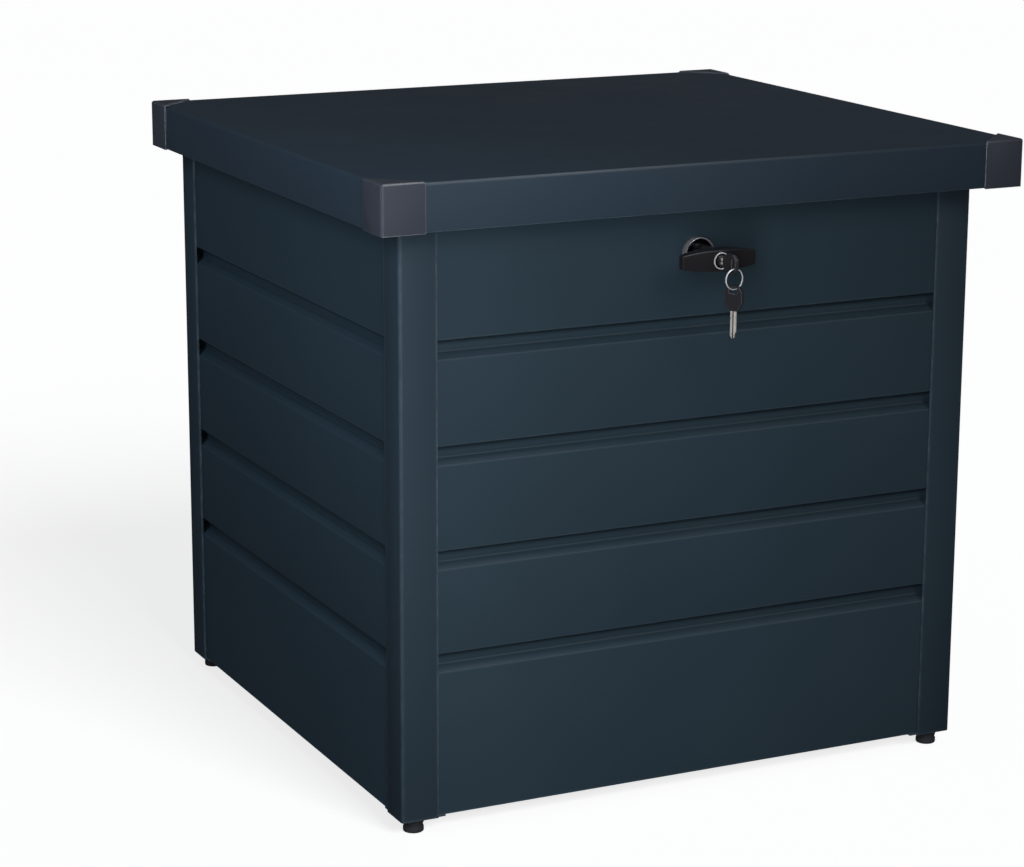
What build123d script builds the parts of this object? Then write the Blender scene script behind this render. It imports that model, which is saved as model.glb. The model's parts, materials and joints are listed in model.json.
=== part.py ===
from build123d import *
from math import asin, atan2, cos, degrees, hypot, radians, sin, sqrt
import os

os.makedirs("parts", exist_ok=True)

# Lockable storage chest of folded steel: ribbed walls held by four corner posts, a
# tray lid hinged at the back on two butt hinges and held open by two gas struts, and
# a T-handle lock in the front wall. Z is up, -Y is the front, z = 0 is the ground.

# Outline of the closed chest
width = 680.0           # over the corner caps of the lid
depth = 625.0           # front caps to hinge knuckles
height = 630.0          # ground to the top of the caps
middle_y = 20.5         # middle of that depth; the keys reach further to the front

# Sheets and general clearances
post_sheet = 2.0
panel_sheet = 1.2
lid_sheet = 0.8
run_gap = 0.3           # between faces that move past each other
pin_gap = 0.05          # radial, between a pin or shaft and the hole it turns in

# Walls
side_overhang = 33.0    # lid caps past the corner posts, at each side
front_overhang = 38.5   # the same at the front
foot_height = 14.0
post_front_flange = 38.0
post_side_flange = 35.5
post_bend = 3.0
groove_depth = 9.0
groove_height = 18.0
groove_ledge = 6.0      # height of the sloping lower ledge in each groove
groove_pitch = 100.0    # grooves are set out downwards, the bottom plank takes the rest
top_plank = 108.2       # visible below the lid
least_bottom = 110.0    # no groove starts lower than this
panel_bend = 1.2
corner_clearance = 1.0  # between the ends of two neighbouring walls

# Lid
cap_proud = 1.5
cap_top = 1.3
cap_leg = 41.5
cap_lip = 0.8
cap_lip_width = 6.0
cap_round = 2.5
cap_edge = 2.0
lid_skirt = 45.0
lid_hem = 10.0
lid_round = 3.0
lid_corner = 4.0

# Hinges
knuckle_radius = 4.5
hinge_pin_radius = 2.5
hinge_leaf = 1.5
hinge_width = 60.0
hinge_reach = 28.0      # pin to the free edge of a leaf
hinge_inset = 107.0     # middle of a hinge from the side of the chest
hinge_middle = 24.0     # length of the middle knuckle
rivet_radius = 2.0
rivet_head = 3.75
rivet_rise = 1.6
rivet_edge = 8.4        # rivets from the free edge of a leaf
rivet_side = 10.0       # outer rivets from the ends of a leaf

# Lock
lock_x = 0.0
lock_drop = 46.7        # lock axis below the lower edge of the lid
housing_radius = 10.0

# Positions that follow
lid_half = width / 2 - cap_proud
lid_front = middle_y - depth / 2 + cap_proud
lid_top = height - cap_top
lid_bottom = lid_top - lid_skirt
pin_y = middle_y + depth / 2 - knuckle_radius
pin_z = lid_bottom - 1.0
rear_face = pin_y - knuckle_radius - 0.5        # back wall and back of the lid
lid_under = lid_top - lid_sheet

post_half = width / 2 - side_overhang
post_front = middle_y - depth / 2 + front_overhang
post_rear = rear_face + post_sheet
wall_half = post_half - post_sheet              # outer face of the side walls
wall_front = post_front + post_sheet            # outer face of the front wall
wall_top = lid_under - 7.2                      # leaves room for the seal
rear_top = lid_bottom - 2.5                     # back wall ends under the lid skirt
wall_bottom = foot_height + 2.0
inner_half = wall_half - panel_sheet
inner_front = wall_front + panel_sheet
inner_rear = rear_face - panel_sheet
rib_depth = groove_depth + panel_sheet
end_inset = rib_depth + corner_clearance        # walls stop this far from the corner

top_groove = lid_bottom - top_plank - groove_height
groove_count = 1 + int((top_groove - least_bottom) / groove_pitch)
first_groove = top_groove - (groove_count - 1) * groove_pitch
plank = groove_pitch - groove_height
hinge_x = post_half - hinge_inset
rivet_reach = hinge_reach - rivet_edge
rivet_columns = (rivet_side - hinge_width / 2, 0, hinge_width / 2 - rivet_side)
lock_z = lid_bottom - lock_drop


def rib_profile(top):
    """Closed outline of a ribbed sheet: first value inward from its outer face, then z."""
    slope = groove_ledge / groove_depth
    drop = panel_sheet * (1 + slope**2) ** 0.5
    outer, inner = [(0, wall_bottom)], [(panel_sheet, wall_bottom)]
    for k in range(groove_count):
        low = first_groove + k * groove_pitch
        outer += [(0, low), (groove_depth, low + groove_ledge),
                  (groove_depth, low + groove_height), (0, low + groove_height)]
        inner += [(panel_sheet, low + slope * panel_sheet - drop),
                  (rib_depth, low + slope * rib_depth - drop),
                  (rib_depth, low + groove_height + panel_sheet),
                  (panel_sheet, low + groove_height + panel_sheet)]
    return outer + [(0, top), (panel_sheet, top)] + inner[::-1]


def bends(sketch, top):
    """Corners of the rib profile, without its two cut ends."""
    return [v for v in sketch.vertices() if wall_bottom + 0.1 < v.Z < top - 0.1]


# Studs on the posts pass through the walls; nuts hold the walls from inside
stud_radius = 2.5
stud_length = 7.0
low_stud = 56.0         # above the lower end of the posts
high_stud = 60.0        # below the lower edge of the lid
stud_heights = (foot_height + low_stud,
                first_groove + groove_count // 2 * groove_pitch - plank / 2,
                lid_bottom - high_stud)
nut_height = 4.0
nut_radius = 4.6
front_stud_x = (post_half - post_front_flange + wall_half - end_inset) / 2
side_stud_inset = (post_side_flange + post_sheet + end_inset) / 2
housing_hole = housing_radius + 0.2

# Front wall
with BuildPart() as front_panel:
    with BuildSketch(Plane.YZ.offset(-(wall_half - end_inset))) as rib:
        with BuildLine():
            Polyline([(wall_front + d, z) for d, z in rib_profile(wall_top)], close=True)
        make_face()
        fillet(bends(rib, wall_top), panel_bend)
    extrude(amount=2 * (wall_half - end_inset))
    with Locations(Location((lock_x, wall_front + rib_depth / 2, lock_z), (90, 0, 0))):
        Cylinder(housing_hole, 2 * rib_depth, mode=Mode.SUBTRACT)
    with Locations([Location((s * front_stud_x, wall_front, z), (90, 0, 0))
                    for s in (-1, 1) for z in stud_heights]):
        Cylinder(stud_radius + 0.2, 4 * panel_sheet, mode=Mode.SUBTRACT)
front_panel.part.label = "front_panel"
export_step(front_panel.part, "parts/front_panel.step")

# Back wall, which stops under the back skirt of the lid
with BuildPart() as rear_panel:
    with BuildSketch(Plane.YZ.offset(-(wall_half - end_inset))) as rib:
        with BuildLine():
            Polyline([(rear_face - d, z) for d, z in rib_profile(rear_top)], close=True)
        make_face()
        fillet(bends(rib, rear_top), panel_bend)
    extrude(amount=2 * (wall_half - end_inset))
    with Locations([Location((s * front_stud_x, rear_face, z), (90, 0, 0))
                    for s in (-1, 1) for z in stud_heights]):
        Cylinder(stud_radius + 0.2, 4 * panel_sheet, mode=Mode.SUBTRACT)
    with Locations([Location((h * hinge_x + x, rear_face, pin_z - rivet_reach), (90, 0, 0))
                    for h in (-1, 1) for x in rivet_columns]):
        Cylinder(rivet_radius, 4 * panel_sheet, mode=Mode.SUBTRACT)
rear_panel.part.label = "rear_panel"
export_step(rear_panel.part, "parts/rear_panel.step")

# Side walls run from behind the front posts to behind the rear posts
side_start = wall_front + end_inset
side_end = rear_face - end_inset
front_stud_y = post_front + side_stud_inset
rear_stud_y = post_rear - side_stud_inset
for side, name in ((-1, "left_panel"), (1, "right_panel")):
    with BuildPart() as side_panel:
        with BuildSketch(Plane.XZ.offset(-side_start)) as rib:
            with BuildLine():
                Polyline([(side * (wall_half - d), z) for d, z in rib_profile(wall_top)],
                         close=True)
            make_face()
            fillet(bends(rib, wall_top), panel_bend)
        extrude(amount=-(side_end - side_start))
        with Locations([Location((side * wall_half, y, z), (0, 90, 0))
                        for y in (front_stud_y, rear_stud_y) for z in stud_heights]):
            Cylinder(stud_radius + 0.2, 4 * panel_sheet, mode=Mode.SUBTRACT)
    side_panel.part.label = name
    export_step(side_panel.part, f"parts/{name}.step")

# Corner posts: angles bent from one sheet, with the studs welded on inside
for side, end, name in ((-1, -1, "post_front_left"), (1, -1, "post_front_right"),
                        (-1, 1, "post_rear_left"), (1, 1, "post_rear_right")):
    face = post_front if end < 0 else post_rear
    post_top = wall_top
    with BuildPart() as post:
        with BuildSketch(Plane.XY.offset(foot_height)) as angle:
            with BuildLine():
                Polyline([(side * post_half, face),
                          (side * (post_half - post_front_flange), face),
                          (side * (post_half - post_front_flange), face - end * post_sheet),
                          (side * wall_half, face - end * post_sheet),
                          (side * wall_half, face - end * post_side_flange),
                          (side * post_half, face - end * post_side_flange)], close=True)
            make_face()
            corner = angle.vertices().sort_by(lambda v: side * v.X + end * v.Y)
            fillet(corner[-1], post_bend)
        extrude(amount=post_top - foot_height)
        if end > 0:
            # the back flange stops under the back skirt of the lid
            with BuildSketch(Plane.XY.offset(rear_top)):
                with Locations((side * post_half, inner_rear + 50)):
                    Rectangle(4 * post_front_flange, 100)
            extrude(amount=height, mode=Mode.SUBTRACT)
        with Locations([Location((side * front_stud_x,
                                  face - end * (post_sheet + stud_length) / 2, z), (90, 0, 0))
                        for z in stud_heights]):
            Cylinder(stud_radius, post_sheet + stud_length - 1.0)
        with Locations([Location((side * (post_half - (post_sheet + stud_length) / 2),
                                  face - end * side_stud_inset, z), (0, 90, 0))
                        for z in stud_heights]):
            Cylinder(stud_radius, post_sheet + stud_length - 1.0)
    post.part.label = name
    export_step(post.part, f"parts/{name}.step")

# Flange nuts on those studs
with BuildPart() as wall_nuts:
    for side in (-1, 1):
        for z in stud_heights:
            for y, turn in ((inner_front, -90), (inner_rear, 90)):
                with BuildSketch(Plane(origin=(side * front_stud_x, y, z), x_dir=(1, 0, 0),
                                       z_dir=(0, 1 if turn < 0 else -1, 0))):
                    RegularPolygon(nut_radius, 6)
                    Circle(stud_radius, mode=Mode.SUBTRACT)
                extrude(amount=nut_height)
            for y in (front_stud_y, rear_stud_y):
                with BuildSketch(Plane(origin=(side * inner_half, y, z), x_dir=(0, 1, 0),
                                       z_dir=(-side, 0, 0))):
                    RegularPolygon(nut_radius, 6)
                    Circle(stud_radius, mode=Mode.SUBTRACT)
                extrude(amount=nut_height)
wall_nuts.part.label = "wall_nuts"
export_step(wall_nuts.part, "parts/wall_nuts.step")

# Rim: a welded angle frame inside the top of the walls, which carries the seal
rim_sheet = 1.5
rim_depth = 50.0
rim_ledge = 10.0
middle_inner = (inner_front + inner_rear) / 2
inner_span = inner_rear - inner_front
with BuildPart() as rim_frame:
    with BuildSketch(Plane.XY.offset(wall_top - rim_depth)):
        with Locations((0, middle_inner)):
            Rectangle(2 * inner_half, inner_span)
            Rectangle(2 * (inner_half - rim_sheet), inner_span - 2 * rim_sheet,
                      mode=Mode.SUBTRACT)
    extrude(amount=rim_depth)
    with BuildSketch(Plane.XY.offset(wall_top - rim_sheet)):
        with Locations((0, middle_inner)):
            Rectangle(2 * inner_half, inner_span)
            Rectangle(2 * (inner_half - rim_ledge), inner_span - 2 * rim_ledge,
                      mode=Mode.SUBTRACT)
    extrude(amount=rim_sheet)
rim_frame.part.label = "rim_frame"
export_step(rim_frame.part, "parts/rim_frame.step")

# Rubber seal on the rim, just under the lid
seal_width = 8.0
seal_inset = 1.0
with BuildPart() as lid_seal:
    with BuildSketch(Plane.XY.offset(wall_top)):
        with Locations((0, middle_inner)):
            RectangleRounded(2 * (inner_half - seal_inset), inner_span - 2 * seal_inset, 12)
            RectangleRounded(2 * (inner_half - seal_inset - seal_width),
                             inner_span - 2 * (seal_inset + seal_width), 4,
                             mode=Mode.SUBTRACT)
    extrude(amount=lid_under - run_gap - wall_top)
    fillet(lid_seal.faces().sort_by(Axis.Z)[-1].edges(), 2.0)
lid_seal.part.label = "lid_seal"
export_step(lid_seal.part, "parts/lid_seal.step")

# Floor pan between the walls, with turned-up edges
pan_z = foot_height + 8.0
pan_edge = 25.0
pan_radius = 3.0
with BuildPart() as floor_pan:
    with BuildSketch(Plane.XY.offset(pan_z)):
        with Locations((0, middle_inner)):
            Rectangle(2 * inner_half, inner_span)
    extrude(amount=pan_edge)
    fillet(floor_pan.faces().sort_by(Axis.Z)[0].edges(), pan_radius)
    offset(amount=-panel_sheet, openings=floor_pan.faces().sort_by(Axis.Z)[-1])
floor_pan.part.label = "floor_pan"
export_step(floor_pan.part, "parts/floor_pan.step")

# Two hat-section stiffeners under the floor
hat_width = 60.0
hat_top = 34.0
hat_height = pan_z - foot_height
floor_hat_x = 120.0
floor_hat_inset = 46.3  # ends of the hats from the front and back walls
floor_hat_length = inner_span - 2 * floor_hat_inset
with BuildPart() as floor_stiffeners:
    for x in (-floor_hat_x, floor_hat_x):
        with BuildSketch(Plane(origin=(x, middle_inner - floor_hat_length / 2, pan_z),
                               x_dir=(1, 0, 0), z_dir=(0, 1, 0))):
            with BuildLine():
                Polyline([(-hat_width / 2, 0), (hat_width / 2, 0),
                          (hat_width / 2, panel_sheet), (hat_top / 2, panel_sheet),
                          (hat_top / 2 - 3, hat_height), (-hat_top / 2 + 3, hat_height),
                          (-hat_top / 2, panel_sheet), (-hat_width / 2, panel_sheet)],
                         close=True)
            make_face()
            with BuildLine():
                Polyline([(-hat_top / 2 + 2, 0), (hat_top / 2 - 2, 0),
                          (hat_top / 2 - 5, hat_height - panel_sheet),
                          (-hat_top / 2 + 5, hat_height - panel_sheet)], close=True)
            make_face(mode=Mode.SUBTRACT)
        extrude(amount=floor_hat_length)
floor_stiffeners.part.label = "floor_stiffeners"
export_step(floor_stiffeners.part, "parts/floor_stiffeners.step")

# Corner plates, feet, their studs and nuts
foot_radius = 10.0
foot_inset_x = 18.0
foot_inset_y = 15.0
foot_stud_radius = 3.0
plate_size = 44.0
foot_spots = [(s * (post_half - foot_inset_x), y) for s in (-1, 1)
              for y in (post_front + foot_inset_y, post_rear - foot_inset_y)]
with BuildPart() as foot_plates:
    for side in (-1, 1):
        for face, end in ((post_front, -1), (post_rear, 1)):
            with BuildSketch(Plane.XY.offset(foot_height)):
                with BuildLine():
                    Polyline([(side * wall_half, face - end * post_sheet),
                              (side * (wall_half - plate_size), face - end * post_sheet),
                              (side * (wall_half - plate_size),
                               face - end * (post_sheet + plate_size / 2)),
                              (side * (wall_half - plate_size / 2),
                               face - end * (post_sheet + plate_size)),
                              (side * wall_half, face - end * (post_sheet + plate_size))],
                             close=True)
                make_face()
            extrude(amount=wall_bottom - foot_height)
    with BuildSketch(Plane.XY.offset(foot_height)):
        with Locations(foot_spots):
            Circle(foot_stud_radius + 0.2)
    extrude(amount=wall_bottom - foot_height, mode=Mode.SUBTRACT)
foot_plates.part.label = "foot_plates"
export_step(foot_plates.part, "parts/foot_plates.step")

stud_sink = 6.0
with BuildPart() as feet:
    for spot in foot_spots:
        with BuildSketch(Plane(origin=(spot[0], spot[1], 0), x_dir=(1, 0, 0),
                               z_dir=(0, -1, 0))):
            with BuildLine():
                Polyline([(0, 0), (foot_radius - 1.5, 0), (foot_radius, 1.5),
                          (foot_radius, foot_height - 1), (foot_radius - 1, foot_height),
                          (foot_stud_radius, foot_height), (foot_stud_radius, stud_sink),
                          (0, stud_sink)], close=True)
            make_face()
        revolve(axis=Axis((spot[0], spot[1], 0), (0, 0, 1)))
feet.part.label = "feet"
export_step(feet.part, "parts/feet.step")

with BuildPart() as foot_studs:
    with BuildSketch(Plane.XY.offset(stud_sink)):
        with Locations(foot_spots):
            Circle(foot_stud_radius)
    extrude(amount=pan_z - 0.5 - stud_sink)
foot_studs.part.label = "foot_studs"
export_step(foot_studs.part, "parts/foot_studs.step")

with BuildPart() as foot_nuts:
    with BuildSketch(Plane.XY.offset(wall_bottom)):
        with Locations(foot_spots):
            RegularPolygon(5.5, 6)
            Circle(foot_stud_radius, mode=Mode.SUBTRACT)
    extrude(amount=pan_z - 1.0 - wall_bottom)
foot_nuts.part.label = "foot_nuts"
export_step(foot_nuts.part, "parts/foot_nuts.step")

# Lid tray: one sheet folded down on four sides, hemmed inward except at the back
lid_span = rear_face - lid_front
lid_middle = (rear_face + lid_front) / 2
with BuildPart() as lid_tray:
    with BuildSketch(Plane.XY.offset(lid_bottom)):
        with Locations((0, lid_middle)):
            RectangleRounded(2 * lid_half, lid_span, lid_corner)
    extrude(amount=lid_skirt)
    fillet(lid_tray.faces().sort_by(Axis.Z)[-1].edges(), lid_round)
    offset(amount=-lid_sheet, openings=lid_tray.faces().sort_by(Axis.Z)[0])
    with BuildSketch(Plane.XY.offset(lid_bottom)):
        with Locations((0, lid_middle)):
            RectangleRounded(2 * lid_half, lid_span, lid_corner)
        with Locations((0, lid_middle + lid_hem)):
            Rectangle(2 * (lid_half - lid_hem), lid_span, mode=Mode.SUBTRACT)
        with Locations((0, rear_face)):
            Rectangle(2 * (lid_half - lid_sheet), 2 * lid_hem, mode=Mode.SUBTRACT)
    extrude(amount=lid_sheet)
    with Locations([Location((h * hinge_x + x, rear_face, pin_z + rivet_reach), (90, 0, 0))
                    for h in (-1, 1) for x in rivet_columns]):
        Cylinder(rivet_radius, 4 * lid_sheet, mode=Mode.SUBTRACT)
lid_tray.part.label = "lid_tray"
export_step(lid_tray.part, "parts/lid_tray.step")

# Moulded corner caps, clipped round the skirt with a lip below and a gusset on top
for side, end, name in ((-1, -1, "cap_front_left"), (1, -1, "cap_front_right"),
                        (-1, 1, "cap_rear_left"), (1, 1, "cap_rear_right")):
    edge_y = lid_front if end < 0 else rear_face
    out_x, out_y = side * (lid_half + cap_proud), edge_y + end * cap_proud
    in_x, in_y = out_x - side * (cap_leg + cap_proud), out_y - end * (cap_leg + cap_proud)
    with BuildPart() as cap:
        with BuildSketch(Plane.XY.offset(lid_bottom - cap_lip)):
            with Locations(((out_x + in_x) / 2, (out_y + in_y) / 2)):
                Rectangle(cap_leg + cap_proud, cap_leg + cap_proud)
        extrude(amount=height - lid_bottom + cap_lip)
        upright = cap.edges().filter_by(Axis.Z).sort_by(
            lambda e: side * e.center().X + end * e.center().Y)
        fillet(upright[-1], cap_round)
        rim = [e for e in cap.faces().sort_by(Axis.Z)[-1].edges()
               if side * (e.center().X - out_x) > -cap_round
               or end * (e.center().Y - out_y) > -cap_round]
        fillet(rim, cap_edge)
        with BuildSketch(Plane.XY.offset(lid_bottom)):
            with Locations((side * (lid_half - cap_leg), edge_y - end * cap_leg)):
                Rectangle(2 * cap_leg, 2 * cap_leg)
        extrude(amount=lid_skirt, mode=Mode.SUBTRACT)
        # at the back the lip is only as wide as the sheet, clear of the wall behind it
        end_lip = cap_lip_width if end < 0 else lid_sheet
        with BuildSketch(Plane.XY.offset(lid_bottom - cap_lip)):
            with Locations((side * (lid_half - cap_lip_width - cap_leg),
                            edge_y - end * (end_lip + cap_leg))):
                Rectangle(2 * cap_leg, 2 * cap_leg)
        extrude(amount=cap_lip, mode=Mode.SUBTRACT)
        with BuildSketch(Plane.XY.offset(lid_top)):
            with BuildLine():
                Polyline([(side * lid_half, in_y), (in_x, edge_y), (in_x, in_y)], close=True)
            make_face()
        extrude(amount=cap_top, mode=Mode.SUBTRACT)
    cap.part.label = name
    export_step(cap.part, f"parts/{name}.step")

# Lid stiffeners: two hat sections welded under the top. They end where the whole hat
# swings past the inner edge of the seal as the lid opens.
lid_hat_x = 150.0
lid_hat_height = 16.0
lid_hat_front = inner_front + rim_ledge + 12
seal_swing = hypot(pin_y - inner_rear + seal_inset + seal_width, lid_under - pin_z) + 2.0
lid_hat_rear = pin_y - sqrt(seal_swing**2 - (lid_under - lid_hat_height - pin_z)**2)
with BuildPart() as lid_stiffeners:
    for x in (-lid_hat_x, lid_hat_x):
        with BuildSketch(Plane(origin=(x, lid_hat_front, lid_under), x_dir=(1, 0, 0),
                               z_dir=(0, 1, 0))):
            with BuildLine():
                Polyline([(-hat_width / 2, 0), (hat_width / 2, 0),
                          (hat_width / 2, lid_sheet), (hat_top / 2, lid_sheet),
                          (hat_top / 2 - 4, lid_hat_height),
                          (-hat_top / 2 + 4, lid_hat_height),
                          (-hat_top / 2, lid_sheet), (-hat_width / 2, lid_sheet)],
                         close=True)
            make_face()
            with BuildLine():
                Polyline([(-hat_top / 2 + 1, 0), (hat_top / 2 - 1, 0),
                          (hat_top / 2 - 5, lid_hat_height - lid_sheet),
                          (-hat_top / 2 + 5, lid_hat_height - lid_sheet)], close=True)
            make_face(mode=Mode.SUBTRACT)
        extrude(amount=lid_hat_rear - lid_hat_front)
lid_stiffeners.part.label = "lid_stiffeners"
export_step(lid_stiffeners.part, "parts/lid_stiffeners.step")

# Butt hinges: outer knuckles on the chest, the middle one on the lid
outer_start = hinge_middle / 2 + run_gap
outer_length = hinge_width / 2 - outer_start
for name, flip in (("hinge_body_leaves", -1), ("hinge_lid_leaves", 1)):
    spans = [(-outer_start - outer_length / 2, outer_length),
             (outer_start + outer_length / 2, outer_length)] if flip < 0 else [
                 (0, hinge_middle)]
    with BuildPart() as leaves:
        for x in (-hinge_x, hinge_x):
            near, far = pin_z + flip * (knuckle_radius + 1.5), pin_z + flip * hinge_reach
            with Locations((x, rear_face + hinge_leaf / 2, (near + far) / 2)):
                Box(hinge_width, hinge_leaf, abs(far - near))
            for offset_x, length in spans:
                with Locations((x + offset_x, rear_face + hinge_leaf / 2,
                                (pin_z + near) / 2)):
                    Box(length, hinge_leaf, abs(near - pin_z))
                with BuildSketch(Plane(origin=(x + offset_x - length / 2, pin_y, pin_z),
                                       x_dir=(0, 1, 0), z_dir=(1, 0, 0))):
                    Circle(knuckle_radius)
                extrude(amount=length)
            hole = hinge_pin_radius + (pin_gap if flip > 0 else 0)
            with Locations(Location((x, pin_y, pin_z), (0, 90, 0))):
                Cylinder(hole, hinge_width + 2, mode=Mode.SUBTRACT)
            with Locations([Location((x + dx, rear_face, pin_z + flip * rivet_reach),
                                     (90, 0, 0)) for dx in rivet_columns]):
                Cylinder(rivet_radius, 4 * hinge_leaf, mode=Mode.SUBTRACT)
    leaves.part.label = name
    export_step(leaves.part, f"parts/{name}.step")

with BuildPart() as hinge_pins:
    with Locations([Location((x, pin_y, pin_z), (0, 90, 0)) for x in (-hinge_x, hinge_x)]):
        Cylinder(hinge_pin_radius, hinge_width)
    with Locations([Location((x + s * (hinge_width / 2 + 0.6), pin_y, pin_z), (0, 90, 0))
                    for x in (-hinge_x, hinge_x) for s in (-1, 1)]):
        Cylinder(hinge_pin_radius + 1.0, 1.2)
hinge_pins.part.label = "hinge_pins"
export_step(hinge_pins.part, "parts/hinge_pins.step")

# Rivets through each leaf; those in the lid end flush with the inside of the skirt
for name, flip, inside in (("hinge_body_rivets", -1, inner_rear),
                           ("hinge_lid_rivets", 1, rear_face - lid_sheet)):
    with BuildPart() as rivets:
        for x in (-hinge_x, hinge_x):
            for dx in rivet_columns:
                spot = (x + dx, inside, pin_z + flip * rivet_reach)
                with BuildSketch(Plane(origin=spot, x_dir=(1, 0, 0), z_dir=(0, 1, 0))):
                    Circle(rivet_radius)
                extrude(amount=rear_face + hinge_leaf - inside + rivet_rise)
                with BuildSketch(Plane(origin=(spot[0], rear_face + hinge_leaf, spot[2]),
                                       x_dir=(1, 0, 0), z_dir=(0, 1, 0))):
                    Circle(rivet_head)
                extrude(amount=rivet_rise, taper=20)
                if flip < 0:
                    with BuildSketch(Plane(origin=spot, x_dir=(1, 0, 0), z_dir=(0, -1, 0))):
                        Circle(rivet_head - 0.6)
                    extrude(amount=1.4)
    rivets.part.label = name
    export_step(rivets.part, f"parts/{name}.step")

# Gas struts. Both ends lie on one circle round the hinge pin, so a strut turns by half
# the angle of the lid about either end.
strut_inset = 23.8      # middle of a strut from the inner face of the side wall
strut_arm = 180.0       # hinge pin to each stud
strut_lid_drop = 27.0   # lid stud below the underside of the lid
strut_angle = 75.0      # between the two arms with the lid closed
stud_pin = 4.0
eye_radius = 8.0
eye_width = 12.0
tube_radius = 9.0
tube_bore = 7.7
rod_radius = 4.0
tube_start = 14.0       # from the lower stud
rod_show = 33.0         # upper stud to the end of the tube, with the lid closed
guide_length = 12.0
piston_start = 23.0     # lower stud to the piston, with the lid closed
piston_length = 8.0
bracket_sheet = 2.5
bracket_margin = 13.0   # wall bracket to the grooves above and below it
bracket_width = 34.0
bracket_screw_edge = 7.0

lift = lid_under - strut_lid_drop - pin_z
lift_angle = degrees(asin(lift / strut_arm))
low_angle = radians(strut_angle - lift_angle)
high_angle = radians(lift_angle)
top_y = pin_y - strut_arm * cos(high_angle)
top_z = pin_z + strut_arm * sin(high_angle)
low_y = pin_y - strut_arm * cos(low_angle)
low_z = pin_z - strut_arm * sin(low_angle)
lean = atan2(top_y - low_y, top_z - low_z)
along = Vector(0, sin(lean), cos(lean))
strut_x = inner_half - strut_inset
stud_span = 2 * strut_arm * sin(radians(strut_angle) / 2)
tube_end = stud_span - rod_show
rod_end = stud_span - piston_start
bracket_tall = plank - 2 * bracket_margin

for side, tag in ((-1, "left"), (1, "right")):
    foot = Vector(side * strut_x, low_y, low_z)
    head = Vector(side * strut_x, top_y, top_z)
    up = Plane(origin=foot, x_dir=(1, 0, 0), z_dir=along)
    down = Plane(origin=head, x_dir=(1, 0, 0), z_dir=along * -1)

    with BuildPart() as tube:
        with BuildSketch(up.offset(tube_start)):
            Circle(tube_radius)
        extrude(amount=tube_end - tube_start)
        fillet(tube.edges().filter_by(GeomType.CIRCLE), 1.5)
        with BuildSketch(up.offset(tube_start + 4)):
            Circle(tube_bore)
        extrude(amount=tube_end - guide_length - tube_start - 4, mode=Mode.SUBTRACT)
        with BuildSketch(up.offset(tube_end - guide_length - 1)):
            Circle(rod_radius + pin_gap)
        extrude(amount=guide_length + 2, mode=Mode.SUBTRACT)
    tube.part.label = f"strut_tube_{tag}"
    export_step(tube.part, f"parts/strut_tube_{tag}.step")

    with BuildPart() as rod:
        with BuildSketch(down.offset(tube_start)):
            Circle(rod_radius)
        extrude(amount=rod_end - tube_start)
        with BuildSketch(down.offset(rod_end - piston_length)):
            Circle(tube_bore - pin_gap)
        extrude(amount=piston_length)
    rod.part.label = f"strut_rod_{tag}"
    export_step(rod.part, f"parts/strut_rod_{tag}.step")

    for place, centre, plane, neck in (("lower", foot, up, tube_radius - 2.5),
                                       ("upper", head, down, rod_radius + 1.5)):
        with BuildPart() as socket:
            with Locations(Location(centre, (0, 90, 0))):
                Cylinder(eye_radius, eye_width)
            with BuildSketch(plane):
                Circle(neck)
            extrude(amount=tube_start)
            with Locations(Location(centre, (0, 90, 0))):
                Cylinder(stud_pin + pin_gap, 2 * eye_width, mode=Mode.SUBTRACT)
        socket.part.label = f"strut_{place}_socket_{tag}"
        export_step(socket.part, f"parts/strut_{place}_socket_{tag}.step")

# Wall brackets with the lower studs, in the plank between two grooves
stud_tip = strut_x - eye_width / 2 - 2.5
with BuildPart() as strut_wall_brackets:
    for side in (-1, 1):
        with Locations((side * (inner_half - bracket_sheet / 2), low_y, low_z)):
            Box(bracket_sheet, bracket_width, bracket_tall)
        with BuildSketch(Plane(origin=(side * (inner_half - bracket_sheet), low_y, low_z),
                               x_dir=(0, 1, 0), z_dir=(-side, 0, 0))):
            Circle(7)
        extrude(amount=inner_half - bracket_sheet - strut_x - eye_width / 2 - 0.5)
        with BuildSketch(Plane(origin=(side * inner_half, low_y, low_z), x_dir=(0, 1, 0),
                               z_dir=(-side, 0, 0))):
            Circle(stud_pin)
        extrude(amount=inner_half - stud_tip)
strut_wall_brackets.part.label = "strut_wall_brackets"
export_step(strut_wall_brackets.part, "parts/strut_wall_brackets.step")

# Lid brackets: angles under the lid with the upper studs
plate_x = inner_half - rim_ledge - 3.0
with BuildPart() as strut_lid_brackets:
    for side in (-1, 1):
        with Locations((side * (plate_x - 16), top_y, lid_under - bracket_sheet / 2)):
            Box(32, 44, bracket_sheet)
        with Locations((side * (plate_x - bracket_sheet / 2), top_y,
                        (lid_under + top_z - 10) / 2)):
            Box(bracket_sheet, 30, lid_under - top_z + 10)
        with BuildSketch(Plane(origin=(side * plate_x, top_y, top_z), x_dir=(0, 1, 0),
                               z_dir=(-side, 0, 0))):
            Circle(stud_pin)
        extrude(amount=plate_x - stud_tip)
strut_lid_brackets.part.label = "strut_lid_brackets"
export_step(strut_lid_brackets.part, "parts/strut_lid_brackets.step")

# Spring clips on the stud ends
for name, centre in (("strut_wall_clips", (low_y, low_z)), ("strut_lid_clips", (top_y, top_z))):
    with BuildPart() as clips:
        for side in (-1, 1):
            with BuildSketch(Plane(origin=(side * (stud_tip + 1.6), *centre),
                                   x_dir=(0, 1, 0), z_dir=(-side, 0, 0))):
                Circle(stud_pin + 2.5)
                Circle(stud_pin, mode=Mode.SUBTRACT)
            extrude(amount=1.0)
    clips.part.label = name
    export_step(clips.part, f"parts/{name}.step")

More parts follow.
